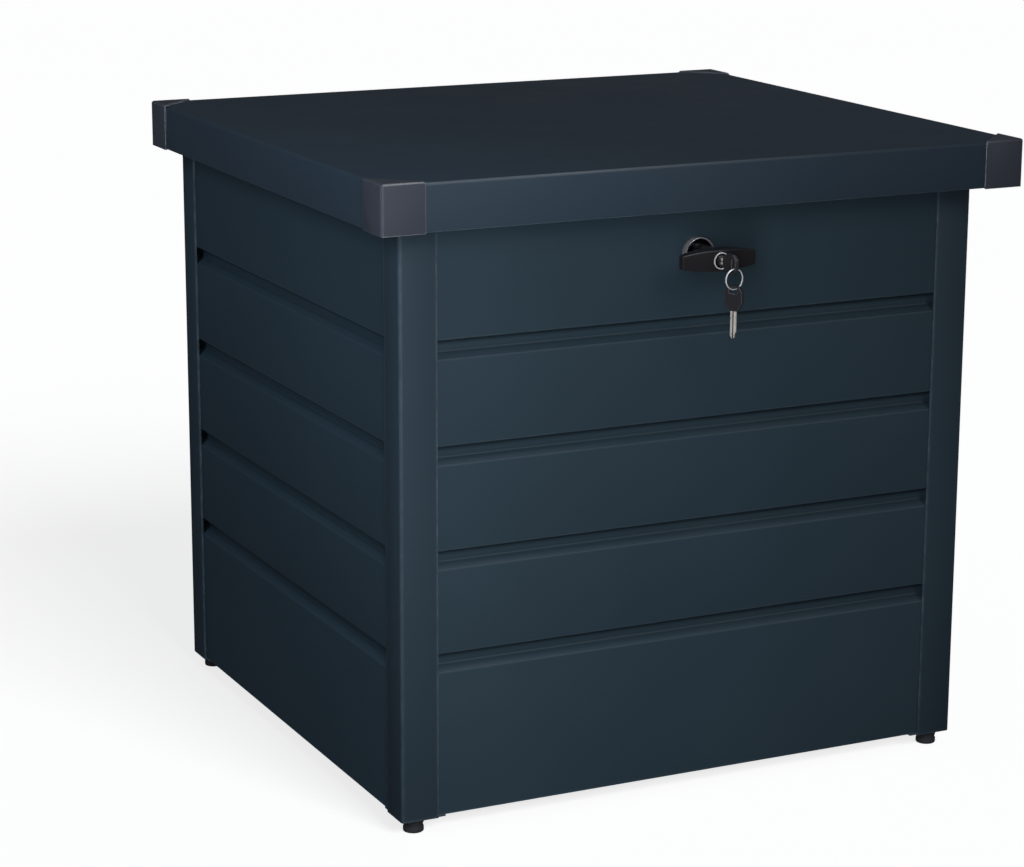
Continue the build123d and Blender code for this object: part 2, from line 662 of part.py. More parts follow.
# Screws that hold the brackets
with BuildPart() as bracket_screws:
    for side in (-1, 1):
        for dz in (bracket_screw_edge - bracket_tall / 2, bracket_tall / 2 - bracket_screw_edge):
            with BuildSketch(Plane(origin=(side * (inner_half - bracket_sheet), low_y,
                                           low_z + dz), x_dir=(0, 1, 0),
                                   z_dir=(-side, 0, 0))):
                Circle(4)
            extrude(amount=2.4, taper=12)
bracket_screws.part.label = "bracket_screws"
export_step(bracket_screws.part, "parts/bracket_screws.step")

# T-handle lock. The bar stands off the wall on a stem; the housing is clamped by a nut.
rosette_radius = 15.5
rosette_height = 8.0
nut_across = 27.0
housing_end = 18.8      # past the inner face of the wall
spindle_radius = 5.0
bar_length = 78.0
bar_height = 20.0
bar_end_height = 13.0
bar_stand = 48.0        # outer face of the wall to the front of the bar
bar_depth = 18.0
bar_end_depth = 7.5
bar_sweep = 3.5         # the ends of the bar lie this far behind its middle
bar_middle = 9.0        # half the flat length at its middle
stem_radius = 9.5
barrel_radius = 7.5
barrel_flange = 8.1
barrel_length = 30.0
plug_radius = 5.0
key_thick = 2.0
key_high = 6.0
key_gap = 0.1
bar_front = wall_front - bar_stand
bar_back = bar_front + bar_depth
rosette_front = wall_front - rosette_height
stem_end = rosette_front - run_gap
barrel_end = bar_front + barrel_length
cam_front = inner_front + 22.8
cam_sheet = 3.0
cam_reach = 32.0
cam_half = 8.0
square = 7.0


def across(y):
    """Plane across the lock axis at this y, looking along +Y."""
    return Plane(origin=(lock_x, y, lock_z), x_dir=(1, 0, 0), z_dir=(0, 1, 0))


with BuildPart() as lock_rosette:
    with BuildSketch(across(rosette_front)):
        Circle(rosette_radius)
    extrude(amount=rosette_height)
    fillet(lock_rosette.faces().sort_by(Axis.Y)[0].edges(), 3.0)
    with BuildSketch(across(rosette_front)):
        Circle(housing_radius)
    extrude(amount=rosette_height, mode=Mode.SUBTRACT)
lock_rosette.part.label = "lock_rosette"
export_step(lock_rosette.part, "parts/lock_rosette.step")

with BuildPart() as lock_housing:
    with BuildSketch(across(rosette_front)):
        Circle(housing_radius)
        Circle(spindle_radius + pin_gap, mode=Mode.SUBTRACT)
    extrude(amount=inner_front + housing_end - rosette_front)
lock_housing.part.label = "lock_housing"
export_step(lock_housing.part, "parts/lock_housing.step")

with BuildPart() as lock_nut:
    with BuildSketch(across(inner_front)):
        RegularPolygon(nut_across / 2, 6, major_radius=False)
        Circle(housing_radius, mode=Mode.SUBTRACT)
    extrude(amount=6.0)
lock_nut.part.label = "lock_nut"
export_step(lock_nut.part, "parts/lock_nut.step")

with BuildPart() as handle:
    with BuildSketch(Plane.XY.offset(lock_z - bar_height)) as plan:
        with BuildLine():
            end_y = bar_front + bar_sweep
            front = Polyline([(lock_x - bar_length / 2, end_y), (lock_x - bar_middle, bar_front),
                              (lock_x + bar_middle, bar_front), (lock_x + bar_length / 2, end_y)])
            back = ThreePointArc((lock_x + bar_length / 2, end_y + bar_end_depth),
                                 (lock_x, bar_back),
                                 (lock_x - bar_length / 2, end_y + bar_end_depth))
            Line(front @ 1, back @ 0)
            Line(back @ 1, front @ 0)
        make_face()
    extrude(amount=2 * bar_height)
    with BuildSketch(across(bar_front - 5)):
        with BuildLine():
            top = ThreePointArc((-bar_length / 2 + 1.5, bar_end_height / 2),
                                (0, bar_height / 2),
                                (bar_length / 2 - 1.5, bar_end_height / 2))
            low = ThreePointArc((bar_length / 2 - 1.5, -bar_end_height / 2),
                                (0, -bar_height / 2),
                                (-bar_length / 2 + 1.5, -bar_end_height / 2))
            ThreePointArc(top @ 1, (bar_length / 2, 0), low @ 0)
            ThreePointArc(low @ 1, (-bar_length / 2, 0), top @ 0)
        make_face()
    extrude(amount=bar_depth + 10, mode=Mode.INTERSECT)
    fillet(handle.edges(), 0.8)
    with BuildSketch(across(bar_back - 8)):
        Circle(stem_radius)
    extrude(amount=stem_end - bar_back + 8)
    with BuildSketch(across(bar_front - 1)):
        Circle(barrel_radius)
    extrude(amount=barrel_length + 1, mode=Mode.SUBTRACT)
    with BuildSketch(across(barrel_end - 1)):
        Circle(spindle_radius)
    extrude(amount=stem_end - barrel_end + 2, mode=Mode.SUBTRACT)
handle.part.label = "handle"
export_step(handle.part, "parts/handle.step")

with BuildPart() as lock_barrel:
    with BuildSketch(across(bar_front)):
        Circle(barrel_radius)
        Circle(plug_radius + pin_gap, mode=Mode.SUBTRACT)
    extrude(amount=barrel_length)
    with BuildSketch(across(bar_front - 1)):
        Circle(barrel_flange)
        Circle(plug_radius + pin_gap, mode=Mode.SUBTRACT)
    extrude(amount=1.0)
lock_barrel.part.label = "lock_barrel"
export_step(lock_barrel.part, "parts/lock_barrel.step")

# Spindle: round through the housing, square where it carries the cam
cam_rear = cam_front + cam_sheet
with BuildPart() as spindle:
    with BuildSketch(across(barrel_end)):
        Circle(spindle_radius)
    extrude(amount=cam_front - barrel_end)
    with BuildSketch(across(cam_front)):
        Rectangle(square, square)
    extrude(amount=cam_sheet)
    with BuildSketch(across(cam_rear - 10)):
        Circle(2.5)
    extrude(amount=10, mode=Mode.SUBTRACT)
spindle.part.label = "spindle"
export_step(spindle.part, "parts/spindle.step")

# The cam points up when unlocked and comes down sideways onto the ledge of the strike
with BuildPart() as cam:
    with BuildSketch(across(cam_front)):
        with Locations((0, (cam_half - cam_reach) / 2)):
            Rectangle(2 * cam_half, cam_reach + cam_half)
    extrude(amount=cam_sheet)
    fillet(cam.edges().filter_by(Axis.Y), 5.0)
    with BuildSketch(across(cam_front)):
        Rectangle(square, square)
    extrude(amount=cam_sheet, mode=Mode.SUBTRACT)
cam.part.label = "cam"
export_step(cam.part, "parts/cam.step")

with BuildPart() as cam_screw:
    with BuildSketch(across(cam_rear - 10)):
        Circle(2.5)
    extrude(amount=10)
    with BuildSketch(across(cam_rear)):
        Circle(6.0)
    extrude(amount=1.2)
    with BuildSketch(across(cam_rear + 1.2)):
        RegularPolygon(4.0, 6, major_radius=False)
    extrude(amount=3.0)
cam_screw.part.label = "cam_screw"
export_step(cam_screw.part, "parts/cam_screw.step")

# Strike: hangs from the lid beside the spindle, with a ledge that the cam turns over
strike_sheet = 2.5
strike_near = cam_half + 6.0
strike_far = cam_reach + 12.0
strike_x = lock_x + (strike_near + strike_far) / 2
strike_front = cam_front - 2.0 - strike_sheet
strike_low = lock_z - cam_half - 2.0
with BuildPart() as strike:
    with Locations((strike_x, strike_front + strike_sheet / 2,
                    (lid_under + strike_low - strike_sheet) / 2)):
        Box(strike_far - strike_near, strike_sheet, lid_under - strike_low + strike_sheet)
    with Locations((strike_x, strike_front + 7.5, strike_low - strike_sheet / 2)):
        Box(strike_far - strike_near, 15, strike_sheet)
    with Locations((strike_x, strike_front + 15, lid_under - strike_sheet / 2)):
        Box(strike_far - strike_near, 30, strike_sheet)
strike.part.label = "strike"
export_step(strike.part, "parts/strike.step")

with BuildPart() as strike_screws:
    with BuildSketch(Plane.XY.offset(lid_under - strike_sheet - 2.4)):
        with Locations([(strike_x + dx, strike_front + 19) for dx in (-8, 8)]):
            Circle(4)
    extrude(amount=2.4)
strike_screws.part.label = "strike_screws"
export_step(strike_screws.part, "parts/strike_screws.step")

# Plug and keys. Each key is a blade with a moulded head that has a slot for the ring.
plug_front = bar_front - 1.2
plug_length = barrel_length - 0.6
blade_length = 22.5
shoulder = 4.0
head_long = 24.0
head_high = 19.0
head_thick = 3.6
slot_from_end = 4.8
slot_wide = 5.2
slot_high = 9.6
with BuildPart() as plug:
    with BuildSketch(across(plug_front)):
        Circle(plug_radius)
        Rectangle(key_thick + 2 * key_gap, key_high + 2 * key_gap, mode=Mode.SUBTRACT)
    extrude(amount=blade_length + 1)
    with BuildSketch(across(plug_front + blade_length + 1)):
        Circle(plug_radius)
    extrude(amount=plug_length - blade_length - 1)
plug.part.label = "plug"
export_step(plug.part, "parts/plug.step")

# Key frames: x across the thickness, z along the blade towards its tip
head_base = shoulder
head_tip = shoulder + head_long
slot_centre = head_tip - slot_from_end


def key_blade(frame, name):
    """Flat blade with its tip cut on a slant, from the head out along +z of the frame."""
    with BuildPart() as blade:
        with BuildSketch(Plane(origin=frame.origin - frame.x_dir * (key_thick / 2),
                               x_dir=frame.z_dir, z_dir=frame.x_dir)):
            with BuildLine():
                Polyline([(-head_base - 8, -key_high / 2), (blade_length - 3, -key_high / 2),
                          (blade_length, -key_high / 8), (blade_length - 1.5, key_high / 4),
                          (blade_length - 5, key_high / 4), (blade_length - 7, key_high / 2),
                          (-head_base - 8, key_high / 2)], close=True)
            make_face()
        extrude(amount=key_thick)
    blade.part.label = name
    export_step(blade.part, f"parts/{name}.step")


def key_head(frame, name):
    """Rounded six-sided head with the ring slot at its far end."""
    with BuildPart() as grip:
        with BuildSketch(Plane(origin=frame.origin - frame.x_dir * (head_thick / 2),
                               x_dir=frame.z_dir, z_dir=frame.x_dir)) as outline:
            with BuildLine():
                Polyline([(-head_base, -4.5), (-head_base - 8, -head_high / 2),
                          (-head_tip + 6, -head_high / 2), (-head_tip, -5.5),
                          (-head_tip, 5.5), (-head_tip + 6, head_high / 2),
                          (-head_base - 8, head_high / 2), (-head_base, 4.5)], close=True)
            make_face()
            fillet(outline.vertices(), 2.5)
        extrude(amount=head_thick)
        fillet(grip.faces().sort_by(frame_axis(frame))[0].edges(), 0.6)
        fillet(grip.faces().sort_by(frame_axis(frame))[-1].edges(), 0.6)
        with BuildSketch(Plane(origin=frame.origin - frame.x_dir * head_thick,
                               x_dir=frame.z_dir, z_dir=frame.x_dir)):
            with Locations((-slot_centre, 0)):
                RectangleRounded(slot_wide, slot_high, 1.2)
        extrude(amount=2 * head_thick, mode=Mode.SUBTRACT)
        with BuildSketch(Plane(origin=frame.origin - frame.x_dir * (key_thick / 2),
                               x_dir=frame.z_dir, z_dir=frame.x_dir)):
            with Locations((-head_base - 4, 0)):
                Rectangle(8, key_high)
        extrude(amount=key_thick, mode=Mode.SUBTRACT)
    grip.part.label = name
    export_step(grip.part, f"parts/{name}.step")


def frame_axis(frame):
    """Axis along the thickness of a key."""
    return Axis(frame.origin, frame.x_dir)


key_frame = Plane(origin=(lock_x, plug_front, lock_z), x_dir=(1, 0, 0), z_dir=(0, 1, 0))
key_blade(key_frame, "key_blade")
key_head(key_frame, "key_head")

# Ring through the slot of the key in the lock, turned a little about the vertical
ring_radius = 9.6
ring_wire = 0.9
ring_turn = -8.0
ring_gap = 0.35         # wire to the slot of the key in the lock
spare_gap = 0.6         # wire to the slot of the spare key, which it crosses on a slant
ring_y = plug_front - slot_centre
ring_z = lock_z - slot_high / 2 + ring_wire + ring_gap - ring_radius
with BuildPart() as key_ring:
    with Locations(Plane(origin=(lock_x, ring_y, ring_z),
                         x_dir=(cos(radians(ring_turn)), -sin(radians(ring_turn)), 0),
                         z_dir=(sin(radians(ring_turn)), cos(radians(ring_turn)), 0))):
        Torus(ring_radius, ring_wire)
key_ring.part.label = "key_ring"
export_step(key_ring.part, "parts/key_ring.step")

# Spare key hanging from the bottom of the ring, blade down
spare_turn = 60.0
spare_top = ring_z - ring_radius + ring_wire + spare_gap - slot_wide / 2
spare_frame = Plane(origin=(lock_x, ring_y, spare_top - slot_centre),
                    x_dir=(-sin(radians(spare_turn)), -cos(radians(spare_turn)), 0),
                    z_dir=(0, 0, -1))
key_blade(spare_frame, "spare_blade")
key_head(spare_frame, "spare_head")

print("strut studs", round(low_y, 3), round(low_z, 3), round(top_y, 3), round(top_z, 3))
print("hinge pin", pin_y, pin_z, "lock", lock_x, lock_z, "plug front", plug_front)
print("ring", ring_y, ring_z, "spare", spare_top)
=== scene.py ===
import json
import math

import bmesh
import bpy
from mathutils import Matrix, Vector


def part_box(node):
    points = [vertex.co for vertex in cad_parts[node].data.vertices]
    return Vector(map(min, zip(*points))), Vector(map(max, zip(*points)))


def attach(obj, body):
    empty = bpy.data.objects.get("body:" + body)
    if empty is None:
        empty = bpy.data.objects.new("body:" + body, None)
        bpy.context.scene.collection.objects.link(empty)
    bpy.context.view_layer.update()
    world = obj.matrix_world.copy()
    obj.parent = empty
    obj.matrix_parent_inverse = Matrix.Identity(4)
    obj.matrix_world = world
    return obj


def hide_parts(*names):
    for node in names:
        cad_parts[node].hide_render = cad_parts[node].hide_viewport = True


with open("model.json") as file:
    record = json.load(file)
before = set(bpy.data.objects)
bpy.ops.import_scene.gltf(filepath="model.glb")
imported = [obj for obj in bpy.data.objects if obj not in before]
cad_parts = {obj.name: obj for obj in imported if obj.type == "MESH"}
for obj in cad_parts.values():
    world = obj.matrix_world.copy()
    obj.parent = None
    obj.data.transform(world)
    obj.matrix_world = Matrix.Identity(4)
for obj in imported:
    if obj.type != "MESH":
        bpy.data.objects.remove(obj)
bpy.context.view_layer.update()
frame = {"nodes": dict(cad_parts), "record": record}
cadNodes = frame["nodes"]
bodyOf = {node: body for body, nodes in frame["record"]["behaviour"]["bodies"].items()
          for node in nodes}
hair = 0.0001    # closer than this is the same place
print("frame loaded:", len(cadNodes), "nodes")


# selection and edit mode

def restSelection():
    if bpy.context.object and bpy.context.object.mode != "OBJECT":
        bpy.ops.object.mode_set(mode="OBJECT")
    bpy.ops.object.select_all(action="DESELECT")


def takeUp(piece):
    restSelection()
    piece.select_set(True)
    bpy.context.view_layer.objects.active = piece


def settle(piece):
    takeUp(piece)
    bpy.ops.object.transform_apply(location=True, rotation=True, scale=True)


def addBlock(name, low, high):
    restSelection()
    bpy.ops.mesh.primitive_cube_add(size=1, location=[(a + b) / 2 for a, b in zip(low, high)])
    block = bpy.context.object
    block.name = name
    block.scale = [b - a for a, b in zip(low, high)]
    settle(block)
    return block


def addRod(name, start, end, radius, sides=48):
    restSelection()
    line = Vector(end) - Vector(start)
    bpy.ops.mesh.primitive_cylinder_add(
        vertices=sides, radius=radius, depth=line.length,
        location=(Vector(start) + Vector(end)) / 2,
        rotation=line.to_track_quat("Z", "Y").to_euler())
    rod = bpy.context.object
    rod.name = name
    settle(rod)
    return rod


def addSheet(name, middle, across, up):
    # upright sheet; across and up are its full sides as vectors
    restSelection()
    bpy.ops.mesh.primitive_plane_add(size=1, location=(0, 0, 0))
    sheet = bpy.context.object
    sheet.name = name
    across, up = Vector(across), Vector(up)
    out = across.cross(up).normalized()
    sheet.matrix_world = Matrix((
        (across.x, up.x, out.x, middle[0]), (across.y, up.y, out.y, middle[1]),
        (across.z, up.z, out.z, middle[2]), (0, 0, 0, 1)))
    settle(sheet)
    return sheet


def pick(piece, kind, test):
    # edit mode, with only the faces, edges or verts that pass the test selected
    if bpy.context.object != piece or piece.mode != "EDIT":
        takeUp(piece)
        bpy.ops.object.mode_set(mode="EDIT")
    bpy.ops.mesh.select_mode(type={"faces": "FACE", "edges": "EDGE", "verts": "VERT"}[kind])
    bpy.ops.mesh.select_all(action="DESELECT")
    cage = bmesh.from_edit_mesh(piece.data)
    count = 0
    for item in getattr(cage, kind):
        if test(item):
            item.select_set(True)
            count += 1
    bmesh.update_edit_mesh(piece.data)
    return count


def pushOut(move):
    bpy.ops.mesh.extrude_region_move(TRANSFORM_OT_translate={"value": tuple(move)})


def edgeMiddle(edge):
    return (edge.verts[0].co + edge.verts[1].co) / 2


def edgeLine(edge):
    return (edge.verts[1].co - edge.verts[0].co).normalized()


def apply(piece, kind, **values):
    takeUp(piece)
    modifier = piece.modifiers.new(kind.title(), kind)
    for key, value in values.items():
        setattr(modifier, key, value)
    bpy.ops.object.modifier_apply(modifier=modifier.name)


def smooth(piece, angle=32):
    takeUp(piece)
    bpy.ops.object.shade_smooth_by_angle(angle=math.radians(angle))


def fixNormals(piece):
    takeUp(piece)
    bpy.ops.object.mode_set(mode="EDIT")
    bpy.ops.mesh.select_all(action="SELECT")
    bpy.ops.mesh.remove_doubles(threshold=0.00002)
    bpy.ops.mesh.normals_make_consistent(inside=False)
    bpy.ops.object.mode_set(mode="OBJECT")


def softenEdges(piece, width, segments=2, angle=32):
    apply(piece, "BEVEL", width=width, segments=segments, limit_method="ANGLE",
          angle_limit=math.radians(angle), use_clamp_overlap=True)


def place(piece, nodes, material):
    # the piece stands for those nodes and rides on their body
    piece.data.materials.clear()
    for one in material if isinstance(material, list) else [material]:
        piece.data.materials.append(one)
    nodes = [nodes] if isinstance(nodes, str) else nodes
    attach(piece, bodyOf[nodes[0]])
    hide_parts(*nodes)
    return piece

def newMaterial(name):
    material = bpy.data.materials.new(name)
    material.use_nodes = True
    tree = material.node_tree
    tree.nodes.clear()
    output = tree.nodes.new("ShaderNodeOutputMaterial")
    shader = tree.nodes.new("ShaderNodeBsdfPrincipled")
    tree.links.new(shader.outputs["BSDF"], output.inputs["Surface"])
    coords = tree.nodes.new("ShaderNodeTexCoord")
    return material, tree, shader, coords.outputs["Object"]


def noise(tree, where, scale, detail=3.0, stretch=None, roughness=0.55):
    # noise in object space; stretch gives a scale for each axis
    if stretch:
        mapping = tree.nodes.new("ShaderNodeMapping")
        mapping.inputs["Scale"].default_value = stretch
        tree.links.new(where, mapping.inputs["Vector"])
        where = mapping.outputs["Vector"]
    grain = tree.nodes.new("ShaderNodeTexNoise")
    grain.inputs["Scale"].default_value = scale
    grain.inputs["Detail"].default_value = detail
    grain.inputs["Roughness"].default_value = roughness
    tree.links.new(where, grain.inputs["Vector"])
    return grain.outputs["Fac"]


def spread(tree, value, fromLow, fromHigh, toLow, toHigh):
    ranged = tree.nodes.new("ShaderNodeMapRange")
    ranged.inputs["From Min"].default_value = fromLow
    ranged.inputs["From Max"].default_value = fromHigh
    ranged.inputs["To Min"].default_value = toLow
    ranged.inputs["To Max"].default_value = toHigh
    tree.links.new(value, ranged.inputs["Value"])
    return ranged.outputs["Result"]


def calc(tree, kind, a, b):
    node = tree.nodes.new("ShaderNodeMath")
    node.operation = kind
    for socket, value in zip(node.inputs, (a, b)):
        if isinstance(value, (int, float)):
            socket.default_value = value
        else:
            tree.links.new(value, socket)
    return node.outputs["Value"]


def mixColour(tree, factor, a, b):
    mix = tree.nodes.new("ShaderNodeMix")
    mix.data_type = "RGBA"
    tree.links.new(factor, mix.inputs[0])
    for socket, value in ((mix.inputs[6], a), (mix.inputs[7], b)):
        if isinstance(value, (tuple, list)):
            socket.default_value = (*value, 1)
        else:
            tree.links.new(value, socket)
    return mix.outputs[2]


def edgeMask(tree, radius):
    # bright where the surface turns within this radius
    rounded = tree.nodes.new("ShaderNodeBevel")
    rounded.samples = 4
    rounded.inputs["Radius"].default_value = radius
    geometry = tree.nodes.new("ShaderNodeNewGeometry")
    dot = tree.nodes.new("ShaderNodeVectorMath")
    dot.operation = "DOT_PRODUCT"
    tree.links.new(rounded.outputs["Normal"], dot.inputs[0])
    tree.links.new(geometry.outputs["Normal"], dot.inputs[1])
    return spread(tree, dot.outputs["Value"], 0.995, 0.86, 0.0, 1.0)


def creviceShadeMask(tree, reach):
    # bright in folds and inner corners, where the powder coat gets painted shade
    hollow = tree.nodes.new("ShaderNodeAmbientOcclusion")
    hollow.samples = 6
    hollow.only_local = True
    hollow.inputs["Distance"].default_value = reach
    return spread(tree, hollow.outputs["AO"], 0.96, 0.70, 0.0, 1.0)


def bumps(tree, shader, height, strength, distance, earlier=None):
    bump = tree.nodes.new("ShaderNodeBump")
    bump.inputs["Strength"].default_value = strength
    bump.inputs["Distance"].default_value = distance
    tree.links.new(height, bump.inputs["Height"])
    if earlier is not None:
        tree.links.new(earlier, bump.inputs["Normal"])
    tree.links.new(bump.outputs["Normal"], shader.inputs["Normal"])
    return bump.outputs["Normal"]


def powderCoat(name, looks):
    # satin powder coat: fine orange peel, faint waviness of the sheet, paler edges that are
    # partly wear and partly painted highlight, and painted shade in folds and inner corners
    material, tree, shader, where = newMaterial(name)
    broad = noise(tree, where, looks["cloudScale"], 3)
    fine = noise(tree, where, looks["speckScale"], 2)
    tint = mixColour(tree, spread(tree, broad, 0.35, 0.65, 0, 1), looks["dark"], looks["light"])
    tint = mixColour(tree, spread(tree, fine, 0.62, 0.75, 0, looks["speck"]), tint,
                     looks["speckColour"])
    # paler edges: partly wear, partly a painted highlight along the bends
    wornAndHighlight = calc(tree, "MULTIPLY", edgeMask(tree, looks["wearAndHighlightWidth"]),
                spread(tree, noise(tree, where, 90, 4), 0.35, 0.7, looks["wearAndHighlight"] * 0.3,
                       looks["wearAndHighlight"]))
    # painted shade: folds and inner corners are darkened towards the fold colour, and the same
    # mask keeps the paler edges out of them
    fold = creviceShadeMask(tree, looks["foldShadeReach"])
    wornAndHighlight = calc(tree, "MULTIPLY", wornAndHighlight, calc(tree, "SUBTRACT", 1, fold))
    tint = mixColour(tree, wornAndHighlight, tint, looks["wornAndHighlightColour"])
    tint = mixColour(tree, calc(tree, "MULTIPLY", fold, looks["fold"]), tint,
                     looks["foldShadeColour"])
    tree.links.new(tint, shader.inputs["Base Color"])
    rough = spread(tree, noise(tree, where, 11, 5), 0.3, 0.7, looks["roughLow"],
                   looks["roughHigh"])
    tree.links.new(rough, shader.inputs["Roughness"])
    shader.inputs["Metallic"].default_value = looks.get("metal", 0.0)
    shader.inputs["Specular IOR Level"].default_value = looks["specular"]
    wave = bumps(tree, shader, noise(tree, where, 4.5, 1), looks["waveStrength"], 0.004)
    bumps(tree, shader, noise(tree, where, looks["peelScale"], 2), looks["peelStrength"],
          0.0002, wave)
    return material


def mouldedPlastic(name, looks):
    # plastic with a fine moulded grain and slight colour variation, and a painted highlight
    # along its edges
    material, tree, shader, where = newMaterial(name)
    broad = noise(tree, where, 14, 3)
    tint = mixColour(tree, spread(tree, broad, 0.3, 0.7, 0, 1), looks["dark"], looks["light"])
    # painted highlight: edges are mixed towards a paler colour
    tint = mixColour(tree, calc(tree, "MULTIPLY", edgeMask(tree, looks["edgeHighlightWidth"]),
                                looks["edge"]), tint, looks["edgeHighlightColour"])
    tree.links.new(tint, shader.inputs["Base Color"])
    tree.links.new(spread(tree, noise(tree, where, 35, 4), 0.3, 0.7, looks["roughLow"],
                          looks["roughHigh"]), shader.inputs["Roughness"])
    shader.inputs["Specular IOR Level"].default_value = looks["specular"]
    cells = tree.nodes.new("ShaderNodeTexVoronoi")
    cells.inputs["Scale"].default_value = looks["grainScale"]
    tree.links.new(where, cells.inputs["Vector"])
    first = bumps(tree, shader, cells.outputs["Distance"], looks["grainStrength"], 0.0002)
    bumps(tree, shader, noise(tree, where, 60, 3), 0.06, 0.0006, first)
    return material


def bareMetal(name, looks):
    # plated or drawn metal: fine scratches one way, cloudy polish, darker in places
    material, tree, shader, where = newMaterial(name)
    lines = noise(tree, where, looks["lineScale"], 4, looks["lineStretch"], 0.7)
    cloud = noise(tree, where, looks["cloudScale"], 3)
    tint = mixColour(tree, spread(tree, cloud, 0.3, 0.7, 0, 1), looks["dark"], looks["light"])
    tint = mixColour(tree, spread(tree, lines, 0.5, 0.8, 0, looks["lineTint"]), tint,
                     looks["lineColour"])
    tree.links.new(tint, shader.inputs["Base Color"])
    shader.inputs["Metallic"].default_value = looks.get("metal", 1.0)
    rough = calc(tree, "ADD", spread(tree, lines, 0.3, 0.7, 0, looks["roughSpan"]),
                 spread(tree, cloud, 0.3, 0.7, looks["roughLow"], looks["roughHigh"]))
    tree.links.new(rough, shader.inputs["Roughness"])
    bumps(tree, shader, lines, looks["lineStrength"], 0.00015)
    return material


anthracite = {
    "dark": (0.0105, 0.0185, 0.0255), "light": (0.0120, 0.0208, 0.0285), "cloudScale": 3.0,
    "speckScale": 900, "speck": 0.22, "speckColour": (0.020, 0.032, 0.042),
    # edge settings: paler edges, partly wear and partly painted highlight
    "wearAndHighlightWidth": 0.0024, "wearAndHighlight": 0.85, "wornAndHighlightColour": (0.050, 0.066, 0.080),
    # fold settings: painted shade in folds and inner corners
    "foldShadeReach": 0.007, "fold": 0.85, "foldShadeColour": (0.0022, 0.0034, 0.0046),
    "roughLow": 0.43, "roughHigh": 0.51, "specular": 0.24,
    "waveStrength": 0.05, "peelScale": 620, "peelStrength": 0.16}

wallPaint = powderCoat("wallPowderCoat", anthracite)
postPaint = powderCoat("postPowderCoat", {
    **anthracite, "dark": (0.0108, 0.0180, 0.0248), "light": (0.0122, 0.0202, 0.0276),
    "wearAndHighlightWidth": 0.0042, "wearAndHighlight": 0.95})
# the lid's pale edge colour is mostly a painted highlight along the fold round its top, with a
# little wear
lidPaint = powderCoat("lidPowderCoat", {
    **anthracite, "dark": (0.0112, 0.0178, 0.0256), "light": (0.0124, 0.0198, 0.0282),
    "wearAndHighlight": 0.95, "wornAndHighlightColour": (0.150, 0.175, 0.195), "wearAndHighlightWidth": 0.0010,
    "roughLow": 0.36, "roughHigh": 0.44, "specular": 0.30})
insidePaint = powderCoat("insidePowderCoat", {
    **anthracite, "roughLow": 0.48, "roughHigh": 0.62, "wearAndHighlight": 0.35})
hingePaint = powderCoat("hingePowderCoat", {
    **anthracite, "wearAndHighlight": 0.9, "wornAndHighlightColour": (0.12, 0.13, 0.14), "waveStrength": 0.02})
tubePaint = powderCoat("strutTubeLacquer", {
    **anthracite, "dark": (0.008, 0.008, 0.009), "light": (0.013, 0.013, 0.014),
    "speckColour": (0.02, 0.02, 0.02), "roughLow": 0.22, "roughHigh": 0.34,
    "wornAndHighlightColour": (0.05, 0.05, 0.05), "peelStrength": 0.1, "waveStrength": 0.0})
handleCoat = powderCoat("handleBlackCoat", {
    **anthracite, "dark": (0.0050, 0.0045, 0.0050), "light": (0.0072, 0.0065, 0.0072),
    "speckScale": 2400, "speckColour": (0.020, 0.019, 0.020), "wearAndHighlightWidth": 0.0008,
    "wearAndHighlight": 0.85, "wornAndHighlightColour": (0.11, 0.105, 0.105), "roughLow": 0.32,
    "roughHigh": 0.42, "specular": 0.36, "waveStrength": 0.0, "peelScale": 1500,
    "peelStrength": 0.12})

# the edge colours of these plastics are painted highlights along their edges
capPlastic = mouldedPlastic("capPlastic", {
    "dark": (0.0185, 0.0210, 0.0285), "light": (0.0225, 0.0255, 0.0340),
    "edgeHighlightColour": (0.34, 0.35, 0.38), "edge": 0.80, "edgeHighlightWidth": 0.0008,
    "roughLow": 0.27, "roughHigh": 0.35, "specular": 0.60, "grainScale": 1400,
    "grainStrength": 0.14})
footPlastic = mouldedPlastic("footPlastic", {
    "dark": (0.012, 0.013, 0.015), "light": (0.020, 0.021, 0.024),
    "edgeHighlightColour": (0.045, 0.046, 0.050), "edge": 0.5, "edgeHighlightWidth": 0.0012,
    "roughLow": 0.50, "roughHigh": 0.66, "specular": 0.3, "grainScale": 1100,
    "grainStrength": 0.2})
sealRubber = mouldedPlastic("sealRubber", {
    "dark": (0.006, 0.006, 0.006), "light": (0.011, 0.011, 0.011),
    "edgeHighlightColour": (0.02, 0.02, 0.02), "edge": 0.4, "edgeHighlightWidth": 0.002,
    "roughLow": 0.66, "roughHigh": 0.82, "specular": 0.25, "grainScale": 900,
    "grainStrength": 0.3})
keyPlastic = mouldedPlastic("keyHeadPlastic", {
    "dark": (0.0085, 0.0082, 0.0095), "light": (0.0130, 0.0125, 0.0145),
    "edgeHighlightColour": (0.13, 0.126, 0.140), "edge": 0.8, "edgeHighlightWidth": 0.0006,
    "roughLow": 0.32, "roughHigh": 0.45, "specular": 0.45, "grainScale": 2600,
    "grainStrength": 0.1})
socketPlastic = mouldedPlastic("socketPlastic", {
    "dark": (0.008, 0.008, 0.009), "light": (0.014, 0.014, 0.015),
    "edgeHighlightColour": (0.04, 0.04, 0.04), "edge": 0.4, "edgeHighlightWidth": 0.001,
    "roughLow": 0.38, "roughHigh": 0.5, "specular": 0.4, "grainScale": 1800,
    "grainStrength": 0.12})

